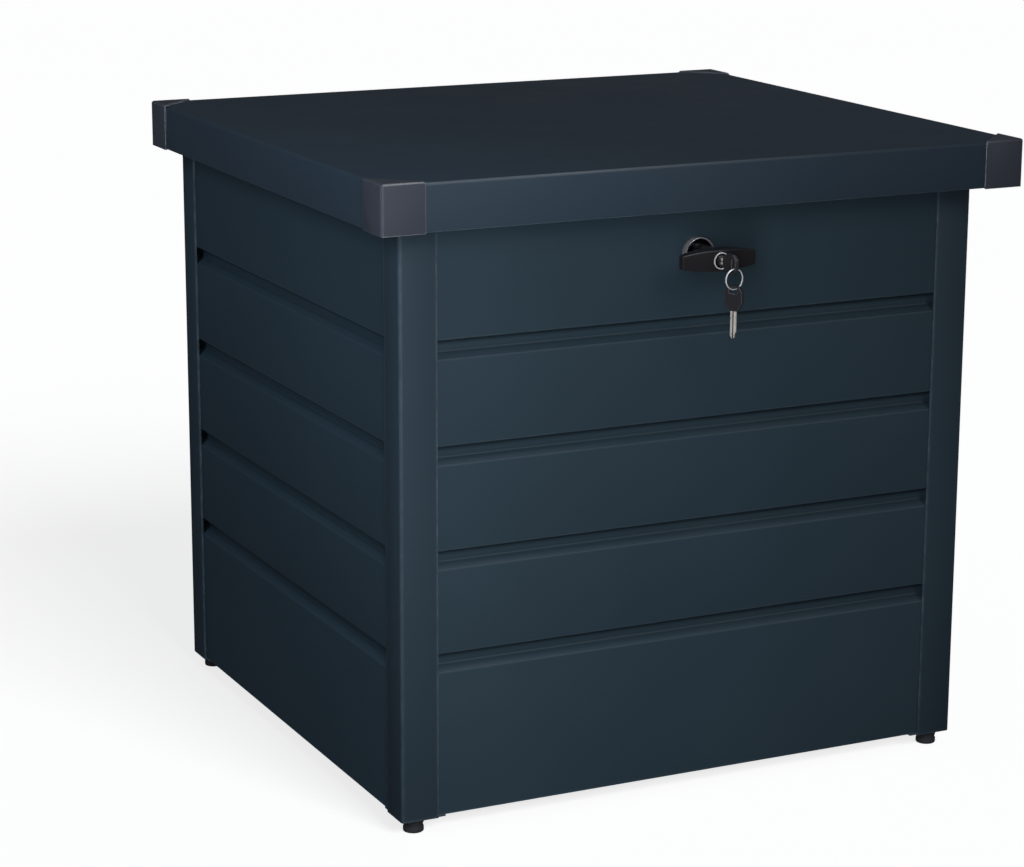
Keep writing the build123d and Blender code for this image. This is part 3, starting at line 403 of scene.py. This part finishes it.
zincSteel = bareMetal("zincSteel", {
    "dark": (0.36, 0.37, 0.39), "light": (0.52, 0.52, 0.53), "lineColour": (0.62, 0.60, 0.54),
    "lineTint": 0.5, "lineScale": 160, "lineStretch": (1, 1, 6), "cloudScale": 55,
    "roughLow": 0.26, "roughHigh": 0.40, "roughSpan": 0.12, "lineStrength": 0.12})
chromePlate = bareMetal("chromePlate", {
    "dark": (0.66, 0.67, 0.69), "light": (0.78, 0.78, 0.79), "lineColour": (0.86, 0.86, 0.86),
    "lineTint": 0.3, "lineScale": 260, "lineStretch": (1, 5, 1), "cloudScale": 40,
    "roughLow": 0.14, "roughHigh": 0.21, "roughSpan": 0.07, "lineStrength": 0.04,
    "metal": 0.72})
rosetteMetal = bareMetal("rosetteDarkChrome", {
    "dark": (0.030, 0.028, 0.040), "light": (0.050, 0.047, 0.062),
    "lineColour": (0.10, 0.10, 0.12),
    "lineTint": 0.3, "lineScale": 300, "lineStretch": (1, 6, 1), "cloudScale": 60,
    "roughLow": 0.14, "roughHigh": 0.24, "roughSpan": 0.08, "lineStrength": 0.05})
rimMetal = bareMetal("rimNickel", {
    "dark": (0.34, 0.34, 0.36), "light": (0.46, 0.46, 0.48), "lineColour": (0.60, 0.60, 0.60),
    "lineTint": 0.1, "lineScale": 300, "lineStretch": (1, 6, 1), "cloudScale": 60,
    "roughLow": 0.20, "roughHigh": 0.26, "roughSpan": 0.04, "lineStrength": 0.008,
    "metal": 0.78})
plugMetal = bareMetal("plugNickel", {
    "dark": (0.16, 0.15, 0.15), "light": (0.26, 0.25, 0.24), "lineColour": (0.40, 0.39, 0.37),
    "lineTint": 0.4, "lineScale": 380, "lineStretch": (1, 6, 1), "cloudScale": 120,
    "roughLow": 0.24, "roughHigh": 0.34, "roughSpan": 0.10, "lineStrength": 0.08})


def bladeMetal(name, middle, turn, looks):
    # nickel silver with a groove milled along the middle of the blade, where the turned
    # coordinate across the blade is near zero; the groove is a bump, darkened with painted
    # shade
    material = bareMetal(name, looks)
    tree = material.node_tree
    shader = next(n for n in tree.nodes if n.type == "BSDF_PRINCIPLED")
    coords = tree.nodes.new("ShaderNodeTexCoord").outputs["Object"]
    turned = tree.nodes.new("ShaderNodeMapping")
    turned.vector_type = "TEXTURE"
    turned.inputs["Location"].default_value = middle
    turned.inputs["Rotation"].default_value = [math.radians(v) for v in turn]
    tree.links.new(coords, turned.inputs["Vector"])
    split = tree.nodes.new("ShaderNodeSeparateXYZ")
    tree.links.new(turned.outputs["Vector"], split.inputs["Vector"])
    away = calc(tree, "ABSOLUTE", split.outputs["X"], 0)
    groove = spread(tree, away, looks["grooveHalf"] * 0.6, looks["grooveHalf"], 1, 0)
    plain = shader.inputs["Base Color"].links[0].from_socket
    # painted shade: the groove is darkened towards the groove colour
    tree.links.new(mixColour(tree, groove, plain, looks["grooveShadeColour"]),
                   shader.inputs["Base Color"])
    sunk = calc(tree, "MULTIPLY", groove, -1)
    earlier = shader.inputs["Normal"].links[0].from_socket
    bumps(tree, shader, sunk, 0.9, 0.0003, earlier)
    return material


nickelSilver = {
    "dark": (0.56, 0.53, 0.48), "light": (0.72, 0.69, 0.64), "lineColour": (0.85, 0.83, 0.80),
    "lineTint": 0.5, "lineScale": 420, "lineStretch": (1, 1, 9), "cloudScale": 120,
    "roughLow": 0.20, "roughHigh": 0.30, "roughSpan": 0.12, "lineStrength": 0.10,
    "metal": 0.75, "grooveHalf": 0.0008, "grooveShadeColour": (0.07, 0.065, 0.06)}
lockZ = (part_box("lock_rosette")[0].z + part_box("lock_rosette")[1].z) / 2
spareLow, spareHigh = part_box("spare_blade")
spareMiddle = (spareLow + spareHigh) / 2
bladeTurns = {"key": (0, 90, 0), "spare": (0, 0, 120)}
keyMetal = bladeMetal("keyNickelSilver", (0, 0, lockZ), bladeTurns["key"], nickelSilver)
spareMetal = bladeMetal("spareNickelSilver", tuple(spareMiddle), bladeTurns["spare"],
                        nickelSilver)
print("finishes ready")

view = {"place": (-1.3425, -2.6346, 1.0388), "yaw": 25.76, "pitch": 13.96, "roll": 0.18,
        "lens": 103.17}
cameraData = bpy.data.cameras.new("camera")
camera = bpy.data.objects.new("camera", cameraData)
bpy.context.scene.collection.objects.link(camera)
cameraData.lens = view["lens"]
cameraData.sensor_width = 36
cameraData.clip_end = 100
turn = (Matrix.Rotation(math.radians(-view["yaw"]), 4, "Z")
        @ Matrix.Rotation(math.radians(90 - view["pitch"]), 4, "X")
        @ Matrix.Rotation(math.radians(view["roll"]), 4, "Z"))
camera.matrix_world = Matrix.Translation(view["place"]) @ turn
bpy.context.scene.camera = camera

studio = {"floor": (0.90, 0.86, 0.82), "floorSize": 60, "floorGlow": 0.795,
          "world": (0.86, 0.93, 1.0), "worldStrength": 0.05, "roomWhite": 0.99,
          "sunStrength": 1.02,
          "sunColour": (0.90, 0.95, 1.0), "sunTurn": 9, "sunHigh": 36, "sunSpread": 26}
restSelection()
bpy.ops.mesh.primitive_plane_add(size=studio["floorSize"], location=(0, 0, 0))
floor = bpy.context.object
floor.name = "studioFloor"
floorMaterial, tree, shader, where = newMaterial("paleFloor")
tree.links.new(mixColour(tree, noise(tree, where, 1.2, 4),
                         [v - 0.01 for v in studio["floor"]],
                         [v + 0.01 for v in studio["floor"]]),
               shader.inputs["Base Color"])
shader.inputs["Roughness"].default_value = 0.9
shader.inputs["Specular IOR Level"].default_value = 0.1
shader.inputs["Emission Color"].default_value = (1, 1, 1, 1)
shader.inputs["Emission Strength"].default_value = studio["floorGlow"]
floor.data.materials.append(floorMaterial)
# the floor is seen, but it throws no light back at the paint, and the soft boxes skip it
floor.visible_glossy = False
floor.visible_diffuse = False
floorOnly = bpy.data.collections.new("lampsSkipThese")
floorOnly.objects.link(floor)
floorOnly.collection_objects[0].light_linking.link_state = "EXCLUDE"

world = bpy.data.worlds.new("studioWorld")
bpy.context.scene.world = world
world.use_nodes = True
background = world.node_tree.nodes["Background"]
background.inputs["Color"].default_value = (*studio["world"], 1)
background.inputs["Strength"].default_value = studio["worldStrength"]
# the room is white to look at beyond the floor's edge, and dim as a light
worldTree = world.node_tree
whiteRoom = worldTree.nodes.new("ShaderNodeBackground")
whiteRoom.inputs["Color"].default_value = (1, 1, 1, 1)
whiteRoom.inputs["Strength"].default_value = studio["roomWhite"]
seen = worldTree.nodes.new("ShaderNodeLightPath")
either = worldTree.nodes.new("ShaderNodeMixShader")
worldTree.links.new(seen.outputs["Is Camera Ray"], either.inputs["Fac"])
worldTree.links.new(background.outputs["Background"], either.inputs[1])
worldTree.links.new(whiteRoom.outputs["Background"], either.inputs[2])
worldTree.links.new(either.outputs["Shader"], worldTree.nodes["World Output"].inputs["Surface"])


def softBox(name, place, aim, size, power, colour=(1, 1, 1), gloss=False):
    lamp = bpy.data.lights.new(name, "AREA")
    lamp.shape = "RECTANGLE"
    lamp.size, lamp.size_y = size
    lamp.energy = power
    lamp.color = colour
    stand = bpy.data.objects.new(name, lamp)
    bpy.context.scene.collection.objects.link(stand)
    stand.location = place
    stand.rotation_euler = (Vector(aim) - Vector(place)).to_track_quat("-Z", "Y").to_euler()
    stand.visible_camera = False
    stand.visible_glossy = gloss    # only the top one is mirrored in the paint
    stand.light_linking.receiver_collection = floorOnly


# one broad far lamp lights the floor evenly and casts the only shadow on it
sunLamp = bpy.data.lights.new("skyPanel", "SUN")
sunLamp.energy = studio["sunStrength"]
sunLamp.color = studio["sunColour"]
sunLamp.angle = math.radians(studio["sunSpread"])
sunStand = bpy.data.objects.new("skyPanel", sunLamp)
bpy.context.scene.collection.objects.link(sunStand)
sunStand.rotation_euler = (math.radians(90 - studio["sunHigh"]), 0,
                           math.radians(studio["sunTurn"]))
lamps = {
    "keyBox": {"place": (-0.50, -0.98, 0.50), "aim": (-0.2, -0.25, 0.32),
               "size": (0.34, 0.90), "power": 15},
    "leftBox": {"place": (-1.25, -0.20, 1.05), "aim": (-0.3, 0, 0.4),
                "size": (0.7, 0.7), "power": 16.5, "colour": (0.80, 0.90, 1.0)},
    "topBox": {"place": (0.22, -0.52, 1.85), "aim": (0, -0.1, 0.6),
               "size": (0.8, 0.45), "power": 5.5, "gloss": True},
    "backBox": {"place": (0.9, 2.0, 0.60), "aim": (0, 0.3, 0.30),
                "size": (0.9, 0.8), "power": 62},
    "rightBox": {"place": (2.0, 0.2, 0.80), "aim": (0.3, 0, 0.3),
                 "size": (0.9, 0.8), "power": 42}}
for name, lamp in lamps.items():
    softBox(name, **lamp)
bpy.context.scene.view_settings.view_transform = "Standard"
print("camera, floor and lights ready")

# walls: one folded sheet each, drawn upwards through its grooves
ribs = {"bottom": 0.016, "low": 0.1575, "pitch": 0.1, "height": 0.018, "depth": 0.009,
        "ledge": 0.006, "count": 4, "bend": 0.0014, "bendSegments": 4, "sheet": 0.0012}


def ribbedWall(name, node, outward):
    low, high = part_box(node)
    outward = Vector(outward)
    inward = -outward
    alongX = abs(outward.y) > 0.5
    face = (low.y if outward.y < 0 else high.y) if alongX else (
        low.x if outward.x < 0 else high.x)
    middle = ((low.x + high.x) / 2, face, 0) if alongX else (face, (low.y + high.y) / 2, 0)
    length = high.x - low.x if alongX else high.y - low.y
    across = Vector((0, 0, 1)).cross(outward) * length
    wall = addSheet(name, (middle[0], middle[1], (ribs["bottom"] + ribs["low"]) / 2),
                    across, (0, 0, ribs["low"] - ribs["bottom"]))
    pick(wall, "edges", lambda e: edgeMiddle(e).z > ribs["low"] - hair)
    up = Vector((0, 0, 1))
    plank = ribs["pitch"] - ribs["height"]
    for k in range(ribs["count"]):
        pushOut(inward * ribs["depth"] + up * ribs["ledge"])
        pushOut(up * (ribs["height"] - ribs["ledge"]))
        pushOut(outward * ribs["depth"])
        last = ribs["low"] + k * ribs["pitch"] + ribs["height"]
        pushOut(up * (plank if k < ribs["count"] - 1 else high.z - last))
    pick(wall, "edges", lambda e: len(e.link_faces) == 2)
    bpy.ops.mesh.bevel(offset=ribs["bend"], segments=ribs["bendSegments"], affect="EDGES")
    apply(wall, "SOLIDIFY", thickness=ribs["sheet"], offset=-1, use_even_offset=True)
    smooth(wall, 40)
    place(wall, node, wallPaint)
    return wall


ribbedWall("frontWall", "front_panel", (0, -1, 0))
ribbedWall("backWall", "rear_panel", (0, 1, 0))
ribbedWall("leftWall", "left_panel", (-1, 0, 0))
ribbedWall("rightWall", "right_panel", (1, 0, 0))
print("walls ready")

# corner posts: an angle of thicker sheet
posts = {"sheet": 0.002, "frontFlange": 0.038, "sideFlange": 0.0355, "bend": 0.003,
         "edge": 0.00035}


def cornerPost(name, node, side, end):
    low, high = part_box(node)
    outX = high.x if side > 0 else low.x
    outY = high.y if end > 0 else low.y
    tall = high.z - low.z
    middle = (outX - side * posts["frontFlange"] / 2, outY, (low.z + high.z) / 2)
    across = Vector((0, 0, 1)).cross(Vector((0, end, 0))) * posts["frontFlange"]
    post = addSheet(name, middle, across, (0, 0, tall))
    pick(post, "edges", lambda e: abs(edgeLine(e).z) > 0.9
         and side * (edgeMiddle(e).x - outX) > -0.001)
    pushOut((0, -end * posts["sideFlange"], 0))
    pick(post, "edges", lambda e: len(e.link_faces) == 2)
    bpy.ops.mesh.bevel(offset=posts["bend"], segments=5, affect="EDGES")
    apply(post, "SOLIDIFY", thickness=posts["sheet"], offset=-1, use_even_offset=True)
    if end > 0:
        # the back flange stops below the back skirt of the lid
        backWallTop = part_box("rear_panel")[1].z
        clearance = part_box("rim_frame")[1].y
        cutter = addBlock("postNotch", (outX - 0.1, clearance, backWallTop),
                          (outX + 0.1, clearance + 0.1, high.z + 0.1))
        apply(post, "BOOLEAN", object=cutter, operation="DIFFERENCE", solver="EXACT")
        bpy.data.objects.remove(cutter)
    fixNormals(post)
    softenEdges(post, posts["edge"])
    smooth(post, 40)
    place(post, node, postPaint)


cornerPost("frontLeftPost", "post_front_left", -1, -1)
cornerPost("frontRightPost", "post_front_right", 1, -1)
cornerPost("backLeftPost", "post_rear_left", -1, 1)
cornerPost("backRightPost", "post_rear_right", 1, 1)
print("posts ready")

# lid: an open tray with a hem, and a small slanted fold round its top
lidShape = {"fold": 0.0022, "soft": 0.0006, "hem": 0.010, "sheet": 0.0008}
low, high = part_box("lid_tray")
lid = addBlock("lidTray", low, high)
pick(lid, "faces", lambda f: f.normal.z < -0.9)
bpy.ops.mesh.inset(thickness=lidShape["hem"])
bpy.ops.mesh.delete(type="FACE")
pick(lid, "faces", lambda f: f.normal.z < -0.9
     and f.calc_center_median().y > high.y - lidShape["hem"])
bpy.ops.mesh.delete(type="FACE")
pick(lid, "edges", lambda e: abs(edgeLine(e).z) > 0.9
     or edgeMiddle(e).z > high.z - hair)
bpy.ops.mesh.bevel(offset=lidShape["fold"], segments=1, affect="EDGES")
softenEdges(lid, lidShape["soft"], 3, 30)
apply(lid, "SOLIDIFY", thickness=lidShape["sheet"], offset=-1, use_even_offset=True)
smooth(lid, 40)
place(lid, "lid_tray", lidPaint)

# corner caps: a thin shell over each corner of the lid
capShape = {"upright": 0.0016, "rim": 0.0015, "lip": 0.006, "backLip": 0.003,
            "wall": 0.0013, "edge": 0.0003}


def cornerCap(name, node, side, end):
    low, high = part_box(node)
    outX, inX = (high.x, low.x) if side > 0 else (low.x, high.x)
    outY, inY = (high.y, low.y) if end > 0 else (low.y, high.y)
    cap = addBlock(name, low, high)
    # lip under the skirt: inset the bottom, keep only its two outer strips
    pick(cap, "faces", lambda f: f.normal.z < -0.9)
    bpy.ops.mesh.inset(thickness=capShape["lip"])
    bpy.ops.mesh.delete(type="FACE")
    pick(cap, "faces", lambda f: side * f.normal.x < -0.9 or end * f.normal.y < -0.9
         or (f.normal.z < -0.9 and (
             side * (f.calc_center_median().x - inX) < capShape["lip"]
             or end * (f.calc_center_median().y - inY) < capShape["lip"])))
    bpy.ops.mesh.delete(type="FACE")
    if end > 0:
        pick(cap, "verts", lambda v: abs(v.co.z - low.z) < hair
             and abs(v.co.y - (outY - capShape["lip"])) < 0.0002)
        bpy.ops.transform.translate(value=(0, capShape["lip"] - capShape["backLip"], 0))
    # gusset on top: cut its inner corner off
    pick(cap, "verts", lambda v: v.co.z > high.z - hair and
         (abs(v.co.x - inX) < hair) != (abs(v.co.y - inY) < hair))
    bpy.ops.mesh.vert_connect()
    pick(cap, "verts", lambda v: v.co.z > high.z - hair
         and abs(v.co.x - inX) < hair and abs(v.co.y - inY) < hair)
    bpy.ops.mesh.delete(type="VERT")
    pick(cap, "edges", lambda e: abs(edgeLine(e).z) > 0.9 and len(e.link_faces) == 2)
    bpy.ops.mesh.bevel(offset=capShape["upright"], segments=1, affect="EDGES")
    pick(cap, "edges", lambda e: len(e.link_faces) == 2 and abs(edgeLine(e).z) < 0.1
         and edgeMiddle(e).z > high.z - hair)
    bpy.ops.mesh.bevel(offset=capShape["rim"], segments=1, affect="EDGES")
    apply(cap, "SOLIDIFY", thickness=capShape["wall"], offset=-1, use_even_offset=True)
    softenEdges(cap, capShape["edge"], 3, 30)
    smooth(cap, 45)
    place(cap, node, capPlastic)


cornerCap("frontLeftCap", "cap_front_left", -1, -1)
cornerCap("frontRightCap", "cap_front_right", 1, -1)
cornerCap("backLeftCap", "cap_rear_left", -1, 1)
cornerCap("backRightCap", "cap_rear_right", 1, 1)
print("lid ready")

# feet: one is shaped and copied to the other corners
footShape = {"radius": 0.010, "waist": 0.9, "waistWidth": 0.0025, "edge": 0.0012}
low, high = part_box("feet")
near = (low.x + footShape["radius"], low.y + footShape["radius"])
far = (high.x - footShape["radius"], high.y - footShape["radius"])
foot = addRod("roundFeet", (*near, low.z), (*near, high.z), footShape["radius"], 40)
halfHigh = (low.z + high.z) / 2
pick(foot, "faces", lambda f: abs(f.normal.z) < 0.5)
bpy.ops.mesh.subdivide(number_cuts=1)
pick(foot, "edges", lambda e: abs(edgeLine(e).z) < 0.1
     and abs(edgeMiddle(e).z - halfHigh) < 0.002)
bpy.ops.mesh.bevel(offset=footShape["waistWidth"], segments=2, affect="EDGES")
pick(foot, "edges", lambda e: abs(edgeLine(e).z) < 0.1
     and abs(edgeMiddle(e).z - halfHigh) < 0.0012)
bpy.ops.transform.resize(value=(footShape["waist"], footShape["waist"], 1),
                         center_override=(*near, halfHigh))
softenEdges(foot, footShape["edge"], 3, 50)
smooth(foot, 45)
takeUp(foot)
bpy.ops.object.mode_set(mode="EDIT")
bpy.ops.mesh.select_all(action="SELECT")
bpy.ops.mesh.duplicate_move(TRANSFORM_OT_translate={"value": (far[0] - near[0], 0, 0)})
bpy.ops.mesh.select_all(action="SELECT")
bpy.ops.mesh.duplicate_move(TRANSFORM_OT_translate={"value": (0, far[1] - near[1], 0)})
bpy.ops.object.mode_set(mode="OBJECT")
place(foot, "feet", footPlastic)
print("feet ready")

# T-handle: a bar drawn out to both sides in steps, on a round stem
lock = {"barLength": 0.078, "barHeight": 0.020, "endHeight": 0.013, "centreHalf": 0.009,
        "barDepth": 0.018, "endDepth": 0.0075, "sweep": 0.0035, "steps": 5, "taper": 1.7,
        "stem": 0.0095, "stemOverlap": 0.004, "edge": 0.0011, "stemEdge": 0.0012}
low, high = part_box("handle")
barFront = low.y
stemEnd = high.y
bar = addBlock("tHandle", (-lock["centreHalf"], barFront, lockZ - lock["barHeight"] / 2),
               (lock["centreHalf"], barFront + lock["barDepth"],
                lockZ + lock["barHeight"] / 2))
for side in (-1, 1):
    pick(bar, "faces", lambda f: side * f.normal.x > 0.9)
    span = lock["barLength"] / 2 - lock["centreHalf"]
    tall, deep = lock["barHeight"], lock["barDepth"]
    for k in range(1, lock["steps"] + 1):
        share = k / lock["steps"]
        bend = share ** lock["taper"]
        newTall = lock["barHeight"] + (lock["endHeight"] - lock["barHeight"]) * bend
        newDeep = lock["barDepth"] + (lock["endDepth"] - lock["barDepth"]) * share
        frontY = barFront + lock["sweep"] * share
        pushOut((side * span / lock["steps"], 0, 0))
        cage = bmesh.from_edit_mesh(bar.data)
        centreY = sum(v.co.y for v in cage.verts if v.select) / 4
        bpy.ops.transform.resize(value=(1, newDeep / deep, newTall / tall),
                                 center_override=(side * 0.02, centreY, lockZ))
        bpy.ops.transform.translate(value=(0, frontY + newDeep / 2 - centreY, 0))
        tall, deep = newTall, newDeep
softenEdges(bar, lock["edge"], 4, 30)
smooth(bar, 28)
stemStart = barFront + lock["barDepth"] - lock["stemOverlap"]
stem = addRod("handleStem", (0, stemStart, lockZ), (0, stemEnd, lockZ), lock["stem"], 56)
pick(stem, "edges", lambda e: abs(edgeLine(e).y) < 0.1 and edgeMiddle(e).y > stemEnd - 0.001)
bpy.ops.mesh.bevel(offset=lock["stemEdge"], segments=3, affect="EDGES")
smooth(stem, 40)
takeUp(bar)
stem.select_set(True)
bpy.ops.object.join()
place(bar, "handle", handleCoat)

# rosette: a thin rim round a sunk dark face
rosetteShape = {"rim": 0.0011, "recess": 0.0025, "edge": 0.0004}
low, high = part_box("lock_rosette")
rosetteRadius = (high.x - low.x) / 2
rosette = addRod("lockRosette", (0, low.y, lockZ), (0, high.y, lockZ), rosetteRadius, 72)
pick(rosette, "faces", lambda f: f.normal.y < -0.9)
bpy.ops.mesh.inset(thickness=rosetteShape["rim"])
pushOut((0, rosetteShape["recess"], 0))
softenEdges(rosette, rosetteShape["edge"], 3, 50)
smooth(rosette, 40)
place(rosette, "lock_rosette", [rimMetal, rosetteMetal])
for polygon in rosette.data.polygons:
    centre = polygon.center
    radius = math.hypot(centre.x, centre.z - lockZ)
    if polygon.normal.y < -0.8 and radius < rosetteRadius - rosetteShape["rim"]:
        polygon.material_index = 1

# barrel: a bright flange, a sunk ring given dark metal as painted shade, and the bore for the
# plug
barrelShape = {"radius": 0.0081, "body": 0.0075, "flange": 0.0010, "rim": 0.0011,
               "recess": 0.0006, "bore": 0.00506, "edge": 0.0002}
low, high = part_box("lock_barrel")
barrel = addRod("lockBarrel", (0, low.y, lockZ), (0, low.y + barrelShape["flange"], lockZ),
                barrelShape["radius"], 72)
pick(barrel, "faces", lambda f: f.normal.y > 0.9)
bpy.ops.mesh.inset(thickness=barrelShape["radius"] - barrelShape["body"])
pushOut((0, high.y - low.y - barrelShape["flange"], 0))
bpy.ops.mesh.inset(thickness=barrelShape["body"] - barrelShape["bore"])
bpy.ops.mesh.delete(type="FACE")
pick(barrel, "faces", lambda f: f.normal.y < -0.9)
bpy.ops.mesh.inset(thickness=barrelShape["rim"])
pushOut((0, barrelShape["recess"], 0))
bpy.ops.mesh.inset(thickness=barrelShape["radius"] - barrelShape["rim"] - barrelShape["bore"])
bpy.ops.mesh.delete(type="FACE")
pick(barrel, "edges", lambda e: len(e.link_faces) == 1)
bpy.ops.mesh.bridge_edge_loops()
bpy.ops.mesh.select_all(action="SELECT")
bpy.ops.mesh.normals_make_consistent(inside=False)
softenEdges(barrel, barrelShape["edge"], 3, 50)
smooth(barrel, 40)
place(barrel, "lock_barrel", [chromePlate, rosetteMetal])
# painted shade: the faces of the sunk ring take the dark metal
for polygon in barrel.data.polygons:
    centre = polygon.center
    radius = math.hypot(centre.x, centre.z - lockZ)
    if (polygon.normal.y < -0.8 and centre.y < low.y + 2 * barrelShape["recess"]
            and radius < barrelShape["radius"] - barrelShape["rim"] - hair):
        polygon.material_index = 1
print("handle ready")

# key ring: two turns of wire side by side
ring = {"radius": 0.0096, "wire": 0.00048, "gap": 0.00041, "turn": -8.0, "parting": 0.0001}
low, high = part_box("key_ring")
ringCentre = (low + high) / 2
turns = []
for k in (-1, 1):
    restSelection()
    normal = Vector((math.sin(math.radians(ring["turn"])),
                     math.cos(math.radians(ring["turn"])), 0))
    bpy.ops.mesh.primitive_torus_add(
        location=ringCentre + normal * k * ring["gap"],
        rotation=normal.to_track_quat("Z", "Y").to_euler(),
        major_radius=ring["radius"], minor_radius=ring["wire"],
        major_segments=72, minor_segments=12)
    turns.append(bpy.context.object)
    settle(turns[-1])
# where the two turns part for a key to slip on
pick(turns[0], "verts", lambda v: v.co.x > ringCentre.x + ring["radius"] * 0.9)
bpy.ops.transform.translate(value=tuple(normal * ring["parting"]))
takeUp(turns[0])
turns[1].select_set(True)
bpy.ops.object.join()
turns[0].name = "splitRing"
smooth(turns[0], 60)
place(turns[0], "key_ring", chromePlate)
print("ring ready")


# pieces that keep their built shape, cleaned and given soft edges

def dress(node, name, material, edge=0.0003, angle=30):
    source = cadNodes[node]
    piece = bpy.data.objects.new(name, source.data.copy())
    bpy.context.scene.collection.objects.link(piece)
    takeUp(piece)
    bpy.ops.object.mode_set(mode="EDIT")
    bpy.ops.mesh.select_all(action="SELECT")
    bpy.ops.mesh.remove_doubles(threshold=0.00001)
    bpy.ops.mesh.dissolve_limited(angle_limit=math.radians(1.5))
    bpy.ops.object.mode_set(mode="OBJECT")
    if edge:
        softenEdges(piece, edge, 2, 40)
    smooth(piece, angle)
    place(piece, node, material)
    return piece


keptPieces = [
    ("rim_frame", "rimFrame", insidePaint, 0.0004),
    ("lid_seal", "lidSeal", sealRubber, 0.0004),
    ("floor_pan", "floorPan", insidePaint, 0.0003),
    ("floor_stiffeners", "floorStiffeners", insidePaint, 0.0003),
    ("foot_plates", "footPlates", postPaint, 0.0003),
    ("foot_studs", "footStuds", zincSteel, 0.0003),
    ("foot_nuts", "footNuts", zincSteel, 0.0003),
    ("wall_nuts", "wallNuts", zincSteel, 0.0003),
    ("lid_stiffeners", "lidStiffeners", insidePaint, 0.0003),
    ("hinge_body_leaves", "chestHingeLeaves", hingePaint, 0.0003),
    ("hinge_lid_leaves", "lidHingeLeaves", hingePaint, 0.0003),
    ("hinge_pins", "hingePins", zincSteel, 0.0004),
    ("hinge_body_rivets", "chestRivets", hingePaint, 0.0007),
    ("hinge_lid_rivets", "lidRivets", hingePaint, 0.0007),
    ("strut_tube_left", "leftStrutTube", tubePaint, 0),
    ("strut_tube_right", "rightStrutTube", tubePaint, 0),
    ("strut_rod_left", "leftStrutRod", chromePlate, 0.0003),
    ("strut_rod_right", "rightStrutRod", chromePlate, 0.0003),
    ("strut_lower_socket_left", "leftLowerSocket", socketPlastic, 0.0006),
    ("strut_lower_socket_right", "rightLowerSocket", socketPlastic, 0.0006),
    ("strut_upper_socket_left", "leftUpperSocket", socketPlastic, 0.0006),
    ("strut_upper_socket_right", "rightUpperSocket", socketPlastic, 0.0006),
    ("strut_wall_brackets", "strutWallBrackets", zincSteel, 0.0004),
    ("strut_lid_brackets", "strutLidBrackets", zincSteel, 0.0004),
    ("strut_wall_clips", "strutWallClips", zincSteel, 0.0002),
    ("strut_lid_clips", "strutLidClips", zincSteel, 0.0002),
    ("bracket_screws", "bracketScrews", zincSteel, 0.0004),
    ("strike", "strike", zincSteel, 0.0004),
    ("strike_screws", "strikeScrews", zincSteel, 0.0004),
    ("lock_housing", "lockHousing", rosetteMetal, 0.0003),
    ("lock_nut", "lockNut", zincSteel, 0.0005),
    ("spindle", "spindle", zincSteel, 0.0003),
    ("cam", "cam", zincSteel, 0.0003),
    ("cam_screw", "camScrew", zincSteel, 0.0003),
    ("plug", "lockPlug", plugMetal, 0.0002),
    ("key_blade", "keyBlade", keyMetal, 0.0002),
    ("key_head", "keyHead", keyPlastic, 0.0003),
    ("spare_blade", "spareBlade", spareMetal, 0.0002),
    ("spare_head", "spareHead", keyPlastic, 0.0003),
]
for node, name, material, edge in keptPieces:
    dress(node, name, material, edge)
print("kept pieces ready")
